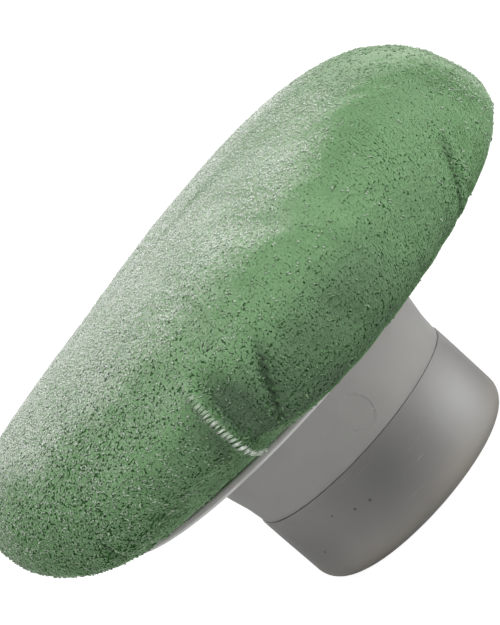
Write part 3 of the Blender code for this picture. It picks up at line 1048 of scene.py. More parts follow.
@dataclass
class PadForm:
    """The shape that the tips of the pile make: a crowned disc that has settled on its plate.

    Lengths are in metres and turns in degrees about Z, from +X. The edge is drawn up at one turn, where the
    cloth is gathered, and hangs over the plate's rim at another.
    """

    radius: float = 0.0449
    widest: float = 0.0300
    crown_height: float = 0.0204
    crown_axial: float = 2.39
    crown_radial: float = 3.60
    rim_radius: float = 0.0334
    rim_height: float = 0.02655
    back_axial: float = 2.26
    back_radial: float = 3.0
    shift: tuple[float, float] = (0.0049, 0.00104)
    lean: tuple[float, float] = (-0.0607, -0.0128)
    stretch_mean: float = 0.0147
    stretch_change: float = -0.0771
    stretch_blend: float = 0.015
    lift: float = 0.0090
    held_reach: float = 0.0080
    rise_start: float = 0.0365
    rise_reach: float = 0.0075
    plate_base: float = 0.0251
    draw_up: float = 0.0042
    draw_up_turn: float = -119.2
    draw_up_reach: float = 16.7
    draw_up_top: float = 0.0400
    hang: float = 0.0008
    hang_turn: float = -50.0
    hang_reach: float = 35.0
    first_row: float = 0.0004
    rows: int = 50
    columns: int = 192

    def section(self) -> tuple[np.ndarray, np.ndarray, np.ndarray]:
        """Follows the cloth from the crown's middle to the rim.

        Returns:
            Radius and height of evenly spaced rows, and how free each is of the rim.
        """
        along = np.linspace(0.0, 1.0, 4000)
        angle = np.pi / 2.0 * (1.0 - along**2)
        radius = self.radius * np.cos(angle) ** (2.0 / self.crown_radial)
        height = self.widest + self.crown_height * np.sin(angle) ** (2.0 / self.crown_axial)
        low = np.pi / 2.0 * along[1:]
        depth = self.widest - self.rim_height
        back = self.rim_radius + (self.radius - self.rim_radius) * np.cos(low) ** (2.0 / self.back_radial)
        radius = np.concatenate([radius, back])
        height = np.concatenate([height, self.widest - depth * np.sin(low) ** (2.0 / self.back_axial)])
        walked = np.concatenate([[0.0], np.cumsum(np.hypot(np.diff(radius), np.diff(height)))])
        stop = np.linspace(self.first_row, walked[-1], self.rows)
        free = smooth_step(walked[-1] - stop, 0.0005, 0.0090)
        return np.interp(stop, walked, radius), np.interp(stop, walked, height), free

    def grid(self) -> np.ndarray:
        """Lays rows and columns of points over the form, from the crown's middle to the rim.

        Returns:
            Rows and columns of points.
        """
        radius, height, _ = self.section()
        turn = 2.0 * np.pi * np.arange(self.columns) / self.columns
        x = radius[:, None] * np.cos(turn)
        y = radius[:, None] * np.sin(turn)
        return self.settle(x, y, np.repeat(height[:, None], self.columns, axis=1))

    def settle(self, x: np.ndarray, y: np.ndarray, z: np.ndarray) -> np.ndarray:
        """Shifts, leans and stretches the pad on its plate, and shapes its edge.

        Args:
            x: The round form's places along X.
            y: The round form's places along Y.
            z: The round form's heights.

        Returns:
            The settled places.
        """
        held = smooth_step(np.hypot(x, y), self.rim_radius, self.rim_radius + self.held_reach)
        share = np.maximum(held, smooth_step(z, self.rise_start, self.rise_start + self.rise_reach))
        longer = x * (self.stretch_mean + self.stretch_change * x / np.hypot(x, self.stretch_blend))
        end = np.maximum(0.0, -(x + longer + self.shift[0]) / self.radius)
        turn = np.degrees(np.arctan2(y, x))
        fade = np.clip((self.draw_up_top - z) / (self.draw_up_top - self.widest), 0.0, 1.0)
        edge = self.draw_up * bump_at(turn, self.draw_up_turn, self.draw_up_reach) * fade * held
        low = np.clip((self.widest - z) / 0.002, 0.0, 1.0) * np.clip((z - self.rim_height) / 0.0006, 0.0, 1.0)
        edge = edge - self.hang * bump_at(turn, self.hang_turn, self.hang_reach) * low
        rise = z - self.plate_base
        tilt = self.lift * end**3 - self.lean[0] * (x + longer) - self.lean[1] * y
        return np.stack([
            x + share * (self.shift[0] + longer + self.lean[0] * rise),
            y + share * (self.shift[1] + self.lean[1] * rise),
            z + share * tilt + edge,
        ], 2)


def grid_normals(grid: np.ndarray) -> np.ndarray:
    """Finds the normals of a grid that closes round its columns.

    Args:
        grid: Rows and columns of points.

    Returns:
        Unit normals, outward for a crown drawn downward.
    """
    round_ = np.roll(grid, -1, axis=1) - np.roll(grid, 1, axis=1)
    down = np.gradient(grid, axis=0)
    normal = np.cross(down, round_)
    return normal / np.maximum(np.linalg.norm(normal, axis=2, keepdims=True), 1e-12)


def refine(grid: np.ndarray) -> np.ndarray:
    """Doubles a grid's rows and columns and smooths the new points.

    Args:
        grid: Rows and columns of points.

    Returns:
        The finer grid.
    """
    rows = np.empty((grid.shape[0] * 2 - 1, *grid.shape[1:]))
    rows[::2] = grid
    rows[1::2] = (grid[:-1] + grid[1:]) / 2.0
    both = np.empty((rows.shape[0], rows.shape[1] * 2, 3))
    both[:, ::2] = rows
    both[:, 1::2] = (rows + np.roll(rows, -1, axis=1)) / 2.0
    soft = both * 0.5 + (np.roll(both, 1, axis=1) + np.roll(both, -1, axis=1)) * 0.25
    inner = soft.copy()
    inner[1:-1] = soft[1:-1] * 0.5 + (soft[:-2] + soft[2:]) * 0.25
    return inner


def grid_faces(rows: int, columns: int, offset: int = 0) -> np.ndarray:
    """Lists the four-sided faces of a grid that closes round its columns.

    Args:
        rows: How many rows it has.
        columns: How many columns.
        offset: The number of its first point.

    Returns:
        The faces.
    """
    row, column = np.meshgrid(np.arange(rows - 1), np.arange(columns), indexing="ij")
    here = row * columns + column
    beside = row * columns + (column + 1) % columns
    faces = np.stack([here, here + columns, beside + columns, beside], 2)
    return faces.reshape(-1, 4) + offset


def pole_faces(columns: int, pole: int, first: int = 0) -> np.ndarray:
    """Gives the triangles between a grid's row, which starts at first, and a pole."""
    column = np.arange(columns)
    return np.stack([first + column, first + (column + 1) % columns, np.full(columns, pole)], 1)


def halves(quads: np.ndarray) -> np.ndarray:
    """Cuts four-sided faces into triangles."""
    return np.concatenate([quads[:, [0, 1, 2]], quads[:, [0, 2, 3]]])


def closed_form(name: str, rows: np.ndarray, end: np.ndarray) -> bpy.types.Object:
    """Makes a closed piece from rows of points round Z, with a pole past the first and the last row.

    Args:
        name: The piece's name.
        rows: The rows.
        end: The last pole's place.

    Returns:
        The piece, open in edit mode with all of it selected and its triangles paired.
    """
    total, columns, _ = rows.shape
    points = np.concatenate([rows.reshape(-1, 3), [rows[0].mean(0), end]])
    first = pole_faces(columns, total * columns)
    last = pole_faces(columns, total * columns + 1, (total - 1) * columns)[:, [1, 0, 2]]
    piece = mesh_piece(name, points, np.concatenate([halves(grid_faces(total, columns)), first, last]))
    to_edit(piece)
    bpy.ops.mesh.select_all(action="SELECT")
    bpy.ops.mesh.tris_convert_to_quads()
    return piece


def loop_vertices(piece: bpy.types.Object) -> np.ndarray:
    """Gives the vertex of each of a piece's loops."""
    loops = np.empty(len(piece.data.loops), np.int32)
    piece.data.loops.foreach_get("vertex_index", loops)
    return loops


@dataclass
class Cover:
    """The plush cover: knitted ground gathered over the foam, with the pile that stands on it."""

    form: PadForm = field(default_factory=PadForm)
    pile_depth: float = 0.00028
    rim_pile_depth: float = 0.00026
    cloth: float = 0.0010
    hem_cloth: float = 0.00205
    hem_base: float = 0.02655
    hem_radius: float = 0.0225
    groove: tuple[float, float, float] = (0.0233, 0.0249, 0.0273)
    slack: float = 0.0005
    most_swell: float = 0.0006
    sim_scale: float = 8.0
    sim_frames: int = 20
    sim_middle: float = 0.0085
    cloth_settings: tuple[tuple[str, float | bool | str], ...] = (
        ("quality", 6), ("mass", 0.15), ("tension_stiffness", 12.0), ("compression_stiffness", 6.0),
        ("bending_stiffness", 0.4), ("use_pressure", True), ("uniform_pressure_force", 4.0),
        ("vertex_group_mass", "pins"), ("vertex_group_shrink", "spare"),
        ("shrink_min", 0.0), ("shrink_max", -0.12),
    )
    kept_waves: int = 5
    gather_seed: int = 11
    gathers: int = 34
    folded_radii: tuple[float, float] = (0.031, 0.037)
    folded_heights: tuple[float, float] = (0.0278, 0.0312)
    creases: tuple[Crease, ...] = (
        Crease(-99.8, 0.0286, -100.5, 0.0380, 0.0014, 0.0019, 0.0010, -0.0026, 0.0008, 1.0),
        Crease(-106.4, 0.0300, -107.4, 0.0370, 0.0006, 0.0014),
        Crease(-96.2, 0.0290, -91.2, 0.0362, 0.0014, 0.0007, 0.0005, -0.0017, 0.0009),
        Crease(-51.2, 0.0276, -43.5, 0.0345, 0.0012, 0.0007, 0.0003, 0.0012),
        Crease(-138.5, 0.0272, -137.0, 0.0325, 0.0012, 0.0009, 0.0003, 0.0013),
        Crease(-127.1, 0.0280, -124.6, 0.0314, 0.0007, 0.0006, 0.0002, 0.0010),
        Crease(-136.2, 0.0280, -131.4, 0.0316, 0.0007, 0.0006, 0.0002, 0.0010),
    )

    def ground(self) -> np.ndarray:
        """Shapes the cloth's outer side, rippled by the simulation and not yet folded.

        Returns:
            Rows and columns of points.
        """
        tips = self.form.grid()
        normal = grid_normals(tips)
        _, _, free = self.form.section()
        depth = self.rim_pile_depth + (self.pile_depth - self.rim_pile_depth) * free
        grid = tips - normal * depth[:, None, None]
        grid = grid + self.swell(grid - normal * (self.slack * free)[:, None, None], grid, free)
        return refine(grid)

    def swell(self, start: np.ndarray, wanted: np.ndarray, free: np.ndarray) -> np.ndarray:
        """Blows the cloth up over the foam with Blender's cloth, pinned at the hem.

        Args:
            start: The slack cloth.
            wanted: The cloth's mean place, which the swelling is kept close to.
            free: How free each row is.

        Returns:
            How far each point moves: the ripples only, since the form's own long waves are left as they are.
        """
        radius, _, _ = self.form.section()
        first = int(np.argmax(radius > self.sim_middle))
        part = start[first:]
        columns = part.shape[1]
        swollen = self.inflate(self.blank(part))
        moved = ((swollen[:-1].reshape(part.shape) - wanted[first:]) * grid_normals(wanted)[first:]).sum(axis=2)
        waves = np.fft.rfft(moved, axis=1)
        waves[:, : self.kept_waves] = 0.0
        ripple = np.fft.irfft(waves, columns, axis=1)
        log.info("cloth_blank: ripples of %.2f mm at most", float(np.abs(ripple).max()) * 1000.0)
        fade = free[first:] * smooth_step(radius[first:], self.sim_middle, self.sim_middle * 2.2)
        whole = np.zeros_like(start)
        height = self.most_swell * np.tanh(ripple * 0.5 / self.most_swell) * fade[:, None]
        whole[first:] = grid_normals(wanted)[first:] * height[..., None]
        return whole

    def blank(self, part: np.ndarray) -> bpy.types.Object:
        """Makes the cloth that is simulated, many times the real size, with its pins and its spare width.

        Args:
            part: Rows and columns of points.

        Returns:
            The piece.
        """
        rows, columns, _ = part.shape
        pole = part[0].mean(0) + np.array([0.0, 0.0, 0.00005])
        points = np.concatenate([part.reshape(-1, 3), [pole]]) * self.sim_scale
        crown = pole_faces(columns, rows * columns)
        piece = mesh_piece("cloth_blank", points, np.concatenate([halves(grid_faces(rows, columns)), crown]))
        low = self.form.rim_height * self.sim_scale
        for name, start, end in (("pins", 0.016, 0.004), ("spare", 0.02, 0.06)):
            group = piece.vertex_groups.new(name=name)
            for index, weight in enumerate(smooth_step(points[:, 2], low + start, low + end)):
                group.add([index], float(weight), "REPLACE")
        return piece

    def inflate(self, piece: bpy.types.Object) -> np.ndarray:
        """Runs the simulation and takes the piece away.

        Args:
            piece: The cloth.

        Returns:
            Where its points have come to, at the real size.
        """
        cloth = piece.modifiers.new("Cloth", "CLOTH")
        for key, value in self.cloth_settings:
            setattr(cloth.settings, key, value)
        cloth.settings.effector_weights.gravity = 0.0
        cloth.collision_settings.use_collision = False
        scene = bpy.context.scene
        for number in range(1, self.sim_frames + 1):
            scene.frame_set(number)
        choose_nothing()
        bpy.context.view_layer.objects.active = piece
        piece.select_set(True)
        bpy.ops.object.modifier_apply(modifier=cloth.name)
        scene.frame_set(1)
        swollen = np.array([vert.co for vert in piece.data.vertices]) / self.sim_scale
        bpy.data.objects.remove(piece, do_unlink=True)
        return swollen

    def all_creases(self) -> list[Crease]:
        """Lists the named folds and the small gathers between them, all round the back.

        Returns:
            The folds.
        """
        draw = np.random.default_rng(self.gather_seed)
        made = list(self.creases)
        for index in range(self.gathers):
            turn = -180.0 + 360.0 * (index + draw.uniform(-0.35, 0.35)) / self.gathers
            lean, reach = draw.uniform(-3.0, 3.0), draw.uniform(0.0012, 0.0042)
            depth, width = draw.uniform(0.0002, 0.0006), draw.uniform(0.0008, 0.0015)
            near = min(abs((turn - fold.turn_low + 180.0) % 360.0 - 180.0) for fold in self.creases)
            if near > 5.0:
                ridge = (depth * 0.4, width * 1.6, width)
                made.append(Crease(turn, 0.0266, turn + lean, 0.0272 + reach, depth, width, *ridge))
        return made

    def fold(self, grid: np.ndarray) -> np.ndarray:
        """Presses the folds and a few soft lumps into the cloth.

        Args:
            grid: Rows and columns of points.

        Returns:
            The folded grid.
        """
        normal = grid_normals(grid)
        turn = np.arctan2(grid[..., 1], grid[..., 0])
        radius = np.hypot(grid[..., 0], grid[..., 1])
        outer = smooth_step(radius, *self.folded_radii)
        outer = outer * (0.25 + 0.75 * smooth_step(grid[..., 2], *self.folded_heights))
        push = np.zeros_like(radius)
        for crease in self.all_creases():
            push += crease.push(turn, grid[..., 2], radius)
        lumps = 0.00016 * np.sin(3.0 * turn + 0.6) * np.sin(grid[..., 2] * 260.0)
        lumps += 0.00010 * np.sin(7.0 * turn + 2.1 + grid[..., 2] * 120.0)
        return grid + normal * ((push + lumps) * outer)[..., None]

    def skin(self, ground: np.ndarray) -> bpy.types.Object:
        """Makes the closed shell of cloth: outer side, hem with its cord groove, and inner side.

        Args:
            ground: The outer side.

        Returns:
            The piece.
        """
        rows, columns, _ = ground.shape
        normal = grid_normals(ground)
        share = smooth_step(ground[..., 2].mean(1), 0.0275, 0.0315)
        thick = self.hem_cloth + (self.cloth - self.hem_cloth) * share
        inner = ground - normal * thick[:, None, None]
        turn = np.arctan2(ground[-1, :, 1], ground[-1, :, 0])
        pucker = 0.5 + 0.5 * np.sin(turn * 40.0 + 1.5 * np.sin(turn * 7.0))
        groove_in, groove_out, groove_floor = self.groove
        top = self.hem_base + self.hem_cloth
        hem_line = [
            (0.0332, self.hem_base, 1.0), (0.030, self.hem_base, 0.0), (0.026, self.hem_base, 0.0),
            (self.hem_radius, self.hem_base, 0.0), (self.hem_radius - 0.0001, self.hem_base + 0.001, 0.6),
            (self.hem_radius, top, 0.0), (groove_in, top, 0.0), (groove_in, groove_floor, 0.0),
            (groove_out, groove_floor, 0.0), (groove_out, top, 0.0), (0.028, top, 0.4), (0.0315, top, 0.8),
        ]
        hem = np.empty((len(hem_line), columns, 3))
        for index, (radius, height, wave) in enumerate(hem_line):
            swing = radius + wave * 0.00012 * pucker
            rise = height + wave * (0.00010 * (pucker - 0.5) if height > top - 1e-6 else 0.00008 * pucker)
            hem[index] = np.stack([swing * np.cos(turn), swing * np.sin(turn), rise], 1)
        near = np.hypot(inner[..., 0], inner[..., 1]) < 0.0345
        inner[..., 2] = np.maximum(inner[..., 2], np.where(near, top, 0.0))
        back = inner[::-1]
        piece = closed_form("plush_cloth", np.concatenate([ground, hem, back]), back[-1].mean(0))
        bpy.ops.mesh.normals_make_consistent(inside=False)
        bpy.ops.object.mode_set(mode="OBJECT")
        self.lay_map(piece)
        return piece

    @staticmethod
    def lay_map(piece: bpy.types.Object) -> None:
        """Gives the cloth a map in metres, as seen from above.

        Args:
            piece: The cloth.
        """
        layer = piece.data.uv_layers.new(name="Cloth")
        places = np.empty(len(piece.data.vertices) * 3, np.float32)
        piece.data.vertices.foreach_get("co", places)
        layer.data.foreach_set("uv", places.reshape(-1, 3)[loop_vertices(piece), :2].ravel())


@dataclass
class Sown:
    """Fibres' feet on the cloth: place, the cloth's three ways there, and the place on the flat cloth."""

    place: np.ndarray
    up: np.ndarray
    down: np.ndarray
    round_: np.ndarray
    flat: np.ndarray

    def way(self, flat_way: np.ndarray) -> np.ndarray:
        """Turns ways on the flat cloth into ways along the pad.

        Args:
            flat_way: A way for each foot.

        Returns:
            The ways in space.
        """
        turn = np.arctan2(self.flat[:, 1], self.flat[:, 0])
        outward = flat_way[:, 0] * np.cos(turn) + flat_way[:, 1] * np.sin(turn)
        aside = flat_way[:, 1] * np.cos(turn) - flat_way[:, 0] * np.sin(turn)
        return self.down * outward[:, None] + self.round_ * aside[:, None]

    def only(self, keep: np.ndarray) -> Sown:
        """Gives the chosen feet."""
        return Sown(self.place[keep], self.up[keep], self.down[keep], self.round_[keep], self.flat[keep])


@dataclass
class Spikes:
    """Fibres as root, tip, width and tint."""

    root: np.ndarray
    tip: np.ndarray
    width: np.ndarray
    tint: np.ndarray

    def only(self, keep: np.ndarray) -> Spikes:
        """Gives the chosen fibres."""
        return Spikes(self.root[keep], self.tip[keep], self.width[keep], self.tint[keep])

    @classmethod
    def together(cls, kinds: Sequence[Spikes]) -> Spikes:
        """Puts several kinds of fibres together."""
        parts = zip(*((kind.root, kind.tip, kind.width, kind.tint) for kind in kinds))
        return cls(*(np.concatenate(part) for part in parts))


@dataclass(frozen=True)
class PaintedShade:
    """A part of the pad with soft edges where painted shade darkens the pile's tint.

    It is full past the second of its heights and of its places along X, and round its turn, in degrees.
    """

    depth: float
    heights: tuple[float, float]
    turn: float = 0.0
    reach: float = math.inf
    along: tuple[float, float] = (-1.0, -0.9)

    def at(self, place: np.ndarray) -> np.ndarray:
        """Tells how much painted shade darkens the tint.

        Args:
            place: Places on the pad.

        Returns:
            Steps down in tint.
        """
        round_ = bump_at(np.degrees(np.arctan2(place[:, 1], place[:, 0])), self.turn, self.reach)
        high = smooth_step(place[:, 2], *self.heights)
        return self.depth * round_ * high * smooth_step(place[:, 0], *self.along)


def clouds(flat: np.ndarray, size: float, seed: int) -> np.ndarray:
    """Lays soft clouds over the flat cloth.

    Args:
        flat: Places on it.
        size: How wide a cloud is.
        seed: The seed of chance.

    Returns:
        The clouds' strength from 0 to 1.
    """
    draw = np.random.default_rng(seed)
    total = np.zeros(len(flat))
    for _ in range(7):
        way = draw.normal(size=2)
        way *= draw.uniform(0.6, 1.5) / np.linalg.norm(way)
        total += np.sin(flat @ way * (math.pi / size) + draw.uniform(0.0, 2.0 * math.pi))
    return np.clip(0.5 + total / 6.5, 0.0, 1.0)


@dataclass
class Pile:
    """The pile: short standing fibres, cut flat or pointed, and paler flecks that lie in the knit's rows.

    Lengths are in metres. A pair is the least and the most of what chance gives each fibre; leans are in
    degrees from upright. A tint is a place from 0, dark, to 1, white, on the ramp of the pile's finish.
    """

    spacing: float = 0.00020
    length: float = 0.00035
    growth: tuple[float, float] = (0.92, 1.05)
    sway: tuple[float, float] = (6.0, 20.0)
    width: float = 0.00028
    root_sunk: float = 0.00006
    cropped_width: float = 0.00048
    cropped_least: float = 0.50
    cropped_more: float = 0.48
    row_spacing: float = 0.00082
    tuft_spacing: float = 0.00048
    fleck_length: float = 0.00062
    fleck_width: float = 0.00026
    fleck_lift: tuple[float, float] = (0.00029, 0.00041)
    fleck_lean: tuple[float, float] = (55.0, 84.0)
    fleck_tint: float = 0.50
    fleck_jitter: float = 0.22
    fleck_scatter: float = 0.45
    comb_length: float = 0.00145
    comb_width: float = 0.00019
    comb_lift: tuple[float, float] = (0.00030, 0.00056)
    comb_teeth: int = 34
    comb_fibres: int = 5
    clump: float = 0.00052
    nap_turn: float = math.radians(-52.0)
    base_tint: float = 0.42
    # Where a painted sheen pales the tips: the crown, the side towards -X and the +X end.
    crown_up: tuple[float, float] = (0.71, 0.960)
    crown_end: tuple[float, float] = (0.026, 0.038)
    crown_loss: float = 0.75
    back_sheen: float = 0.35
    back_along: tuple[float, float] = (0.012, -0.030)
    back_heights: tuple[float, float] = (0.0285, 0.0380)
    end_sheen: float = 0.30
    end_along: tuple[float, float] = (0.034, 0.046)
    # Painted shade: low on the pad's -Y side towards the plate, high near its +X end, and low towards -X.
    painted_shades: tuple[PaintedShade, ...] = (
        PaintedShade(0.30, (0.0400, 0.0335), -88.0, 30.0),
        PaintedShade(0.18, (0.034, 0.043), -24.0, 22.0),
        PaintedShade(0.10, (0.044, 0.036), along=(-0.018, -0.034)),
    )
    jitter: float = 0.17
    scatter: float = 0.10
    closed_pull: float = 0.03
    open_pull: float = 0.16
    back_radius: float = 0.033
    sectors: int = 8
    seed: int = 5

    def lattice(
        self, reach: float, along: float, across: float, jitter: float, draw: np.random.Generator
    ) -> np.ndarray:
        """Gives places on the flat cloth in rows that run across the nap.

        Args:
            reach: How far the cloth goes from its middle.
            along: Spacing in a row.
            across: Spacing of the rows.
            jitter: Scatter, as a share of the spacings.
            draw: The source of chance.

        Returns:
            Places in metres.
        """
        rows = np.arange(-int(reach / across), int(reach / across) + 1)
        steps = np.arange(-int(reach / along), int(reach / along) + 1)
        row, step = np.meshgrid(rows, steps, indexing="ij")
        first = (step + 0.5 * (row % 2) + draw.normal(0.0, jitter, row.shape)) * along
        second = (row + draw.normal(0.0, jitter, row.shape)) * across
        cosine, sine = math.cos(self.nap_turn), math.sin(self.nap_turn)
        flat = np.stack([first * cosine - second * sine, first * sine + second * cosine], 2).reshape(-1, 2)
        return flat[np.hypot(flat[:, 0], flat[:, 1]) < reach]

    def sow(
        self, ground: np.ndarray, along: float, across: float, jitter: float, draw: np.random.Generator
    ) -> Sown:
        """Stands feet on the cloth where the lattice falls.

        Args:
            ground: The cloth.
            along: Spacing in a row.
            across: Spacing of the rows.
            jitter: Scatter, as a share of the spacings.
            draw: The source of chance.

        Returns:
            The feet.
        """
        rows, columns, _ = ground.shape
        normal = grid_normals(ground)
        steps = np.linalg.norm(np.diff(ground, axis=0), axis=2).mean(1)
        reach = np.concatenate([[0.0], np.cumsum(steps)]) + np.hypot(ground[0, :, 0], ground[0, :, 1]).mean()
        flat = self.lattice(reach[-1], along, across, jitter, draw)
        far = np.hypot(flat[:, 0], flat[:, 1])
        radius = np.interp(far, reach, np.linalg.norm(ground - ground.mean(1, keepdims=True), axis=2).mean(1))
        keep = draw.uniform(size=len(far)) < np.clip(radius / np.maximum(far, 1e-5), 0.0, 1.0)
        flat, far = flat[keep], far[keep]
        turn = np.arctan2(flat[:, 1], flat[:, 0])
        row = np.interp(far, reach, np.arange(rows))
        column = (turn / (2.0 * np.pi) * columns) % columns
        low_row = np.clip(row.astype(int), 0, rows - 2)
        low_column = column.astype(int) % columns
        row_share = (row - low_row)[:, None]
        column_share = (column - np.floor(column))[:, None]
        next_column = (low_column + 1) % columns

        def sample(values: np.ndarray) -> np.ndarray:
            """Reads a grid of values at each foot.

            Args:
                values: The grid.

            Returns:
                The values.
            """
            first, second = (
                values[here, low_column] * (1 - column_share) + values[here, next_column] * column_share
                for here in (low_row, low_row + 1)
            )
            return first * (1 - row_share) + second * row_share

        ways = [normal, np.gradient(ground, axis=0), np.roll(ground, -1, axis=1) - np.roll(ground, 1, axis=1)]
        up, down, round_ = (sample(way) for way in ways)
        for way in (up, down, round_):
            way /= np.maximum(np.linalg.norm(way, axis=1, keepdims=True), 1e-12)
        return Sown(sample(ground), up, down, round_, flat)

    def brushed(self, sown: Sown, creases: Sequence[Crease]) -> tuple[np.ndarray, np.ndarray]:
        """Tells where feet are on the folds.

        Args:
            sown: The feet.
            creases: The folds.

        Returns:
            How far each is on a white ridge, and how far it is sunk in a valley.
        """
        place = sown.place
        turn = np.arctan2(place[:, 1], place[:, 0])
        radius = np.hypot(place[:, 0], place[:, 1])
        white = np.zeros(len(place))
        sunk = np.zeros(len(place))
        for crease in creases:
            across, fade = crease.apart(turn, place[:, 2], radius)
            valley = fade * np.exp(-((across / (crease.width * 1.25)) ** 2)) * min(1.0, crease.depth / 0.0014)
            sunk = np.maximum(sunk, valley)
            white = np.maximum(white, crease.white * fade * np.exp(-(crease.beside(across) ** 2)))
        outer = radius > self.back_radius
        return white * outer, sunk * outer

    def painted_sheen(self, sown: Sown) -> np.ndarray:
        """Tells how much painted sheen pales the tips: most on the crown, where the cloth faces up, and some
        towards -X and at the +X end.

        Args:
            sown: The feet.

        Returns:
            From 0 to 1.
        """
        along, height = sown.place[:, 0], sown.place[:, 2]
        crown = smooth_step(sown.up[:, 2], *self.crown_up)
        crown = crown * (1.0 - self.crown_loss * smooth_step(along, *self.crown_end))
        back = smooth_step(along, *self.back_along) * smooth_step(height, *self.back_heights) * self.back_sheen
        end = smooth_step(along, *self.end_along) * self.end_sheen
        cloud = clouds(sown.flat, 0.006, self.seed + 3)
        return np.clip(np.maximum(np.maximum(crown, back), end) * (0.7 + 0.3 * cloud), 0.0, 1.0)

    def tone(self, sown: Sown) -> np.ndarray:
        """Tells how much painted shade darkens the tint in places.

        Args:
            sown: The feet.

        Returns:
            Steps down in tint.
        """
        return sum(shade.at(sown.place) for shade in self.painted_shades)

    def nap(self, sown: Sown) -> np.ndarray:
        """Gives the way that the nap lies at each foot."""
        drift = (clouds(sown.flat, 0.011, self.seed + 4) - 0.5) * 1.4
        return sown.way(np.stack([np.cos(self.nap_turn + drift), np.sin(self.nap_turn + drift)], 1))

    def fine(self, ground: np.ndarray, creases: Sequence[Crease]) -> Spikes:
        """Grows the standing fibres.

        Args:
            ground: The cloth.
            creases: The folds.

        Returns:
            The fibres.
        """
        draw = np.random.default_rng(self.seed)
        sown = self.sow(ground, self.spacing, self.spacing, self.jitter, draw)
        white, sunk = self.brushed(sown, creases)
        painted_sheen = self.painted_sheen(sown)
        count = len(sown.place)
        cell = np.round(sown.flat / self.clump)
        centre = (cell + 0.34 * np.sin(cell[:, ::-1] * 12.9898 + cell * 78.233)) * self.clump
        open_ = clouds(sown.flat, 0.008, self.seed + 6) * smooth_step(sown.place[:, 2], 0.047, 0.038)
        pull = self.closed_pull + self.open_pull * open_ * smooth_step(sown.place[:, 2], 0.0275, 0.0300)
        toward = sown.way((centre - sown.flat) * pull[:, None])
        lean = np.radians(draw.uniform(*self.sway, count))[:, None]
        scatter = sown.way(draw.normal(0.0, self.scatter, (count, 2)))
        length = self.length * draw.uniform(*self.growth, count) * (1.0 - 0.25 * sunk)
        heading = np.cos(lean) * sown.up + np.sin(lean) * self.nap(sown) + scatter
        root = sown.place - sown.up * self.root_sunk
        tip = root + heading * length[:, None] + toward
        cloud = clouds(sown.flat, 0.009, self.seed + 7) - 0.5
        tint = self.base_tint + 0.05 * draw.uniform(size=count) + 0.06 * cloud
        # A painted sheen pales the tips, and fold ridges are paler; painted shade darkens fold valleys, open
        # pile a little, and the painted shade zones.
        tint = tint + painted_sheen * draw.uniform(0.04, 0.42, count) + white * draw.uniform(0.0, 0.25, count)
        tint = tint - 0.04 * open_ - 0.30 * sunk - self.tone(sown)
        # A painted sheen keeps the fibres pale where the cloth does not face -Y.
        far = smooth_step(sown.up[:, 1], -0.78, -0.20)
        tint = np.maximum(tint, far * draw.uniform(0.48, 0.64, count))
        return Spikes(root, tip, np.full(count, self.width), np.clip(tint, 0.02, 0.98))

    def flecks(self, ground: np.ndarray, creases: Sequence[Crease]) -> Spikes:
        """Lays curled tips whose pale tint is partly their own and partly a painted glint; each is pointed at
        both ends.

        Args:
            ground: The cloth.
            creases: The folds.

        Returns:
            The fibres.
        """
        draw = np.random.default_rng(self.seed + 1)
        sown = self.sow(ground, self.tuft_spacing, self.row_spacing, self.fleck_jitter, draw)
        _, sunk = self.brushed(sown, creases)
        painted_sheen = self.painted_sheen(sown)
        # More flecks towards -X and where a painted sheen lies; fewer low on the pad and in fold valleys.
        toward_minus_x = smooth_step(sown.place[:, 0], 0.022, -0.018)
        chance = 0.07 + 0.40 * toward_minus_x * (0.45 + clouds(sown.flat, 0.005, self.seed + 8)) + 0.85 * painted_sheen
        chance = chance * (0.35 + 0.65 * smooth_step(sown.place[:, 2], 0.0282, 0.0305))
        on = draw.uniform(size=len(chance)) < chance * (1.0 - 0.6 * sunk)
        sown, painted_sheen = sown.only(on), painted_sheen[on]
        count = len(sown.place)
        shade = draw.uniform(0.0, 1.0, count)
        # Painted shade darkens the flecks in the painted shade zones and low on the pad.
        painted_fleck_shade = 0.85 * self.tone(sown) + 0.10 * smooth_step(sown.place[:, 2], 0.0300, 0.0280)
        made = []
        for _ in range(2):
            lean = np.radians(draw.uniform(*self.fleck_lean, count))[:, None]
            stray = draw.normal(0.0, self.fleck_scatter, (count, 2)) * (1.0 + 1.3 * painted_sheen[:, None])
            heading = np.cos(lean) * sown.up + np.sin(lean) * (self.nap(sown) + sown.way(stray))
            heading /= np.linalg.norm(heading, axis=1, keepdims=True)
            middle = sown.place + sown.up * (draw.uniform(*self.fleck_lift, count) + 0.00004 * painted_sheen)[:, None]
            middle = middle + sown.way(draw.normal(0.0, 0.00017, (count, 2)))
            length = self.fleck_length * draw.uniform(0.7, 1.15, count) * (1.0 - 0.38 * painted_sheen)
            half = heading * (length * 0.5)[:, None]
            # Tint: random brightness, plus the painted sheen, less the painted shade.
            tint = self.fleck_tint + 0.27 * shade * draw.uniform(0.7, 1.0, count) + 0.32 * painted_sheen - painted_fleck_shade
            made.append((middle - half, middle + half, tint))
        root, tip, tint = (np.concatenate(parts) for parts in zip(*made))
        return Spikes(root, tip, np.full(len(root), self.fleck_width), np.clip(tint, 0.02, 0.98))

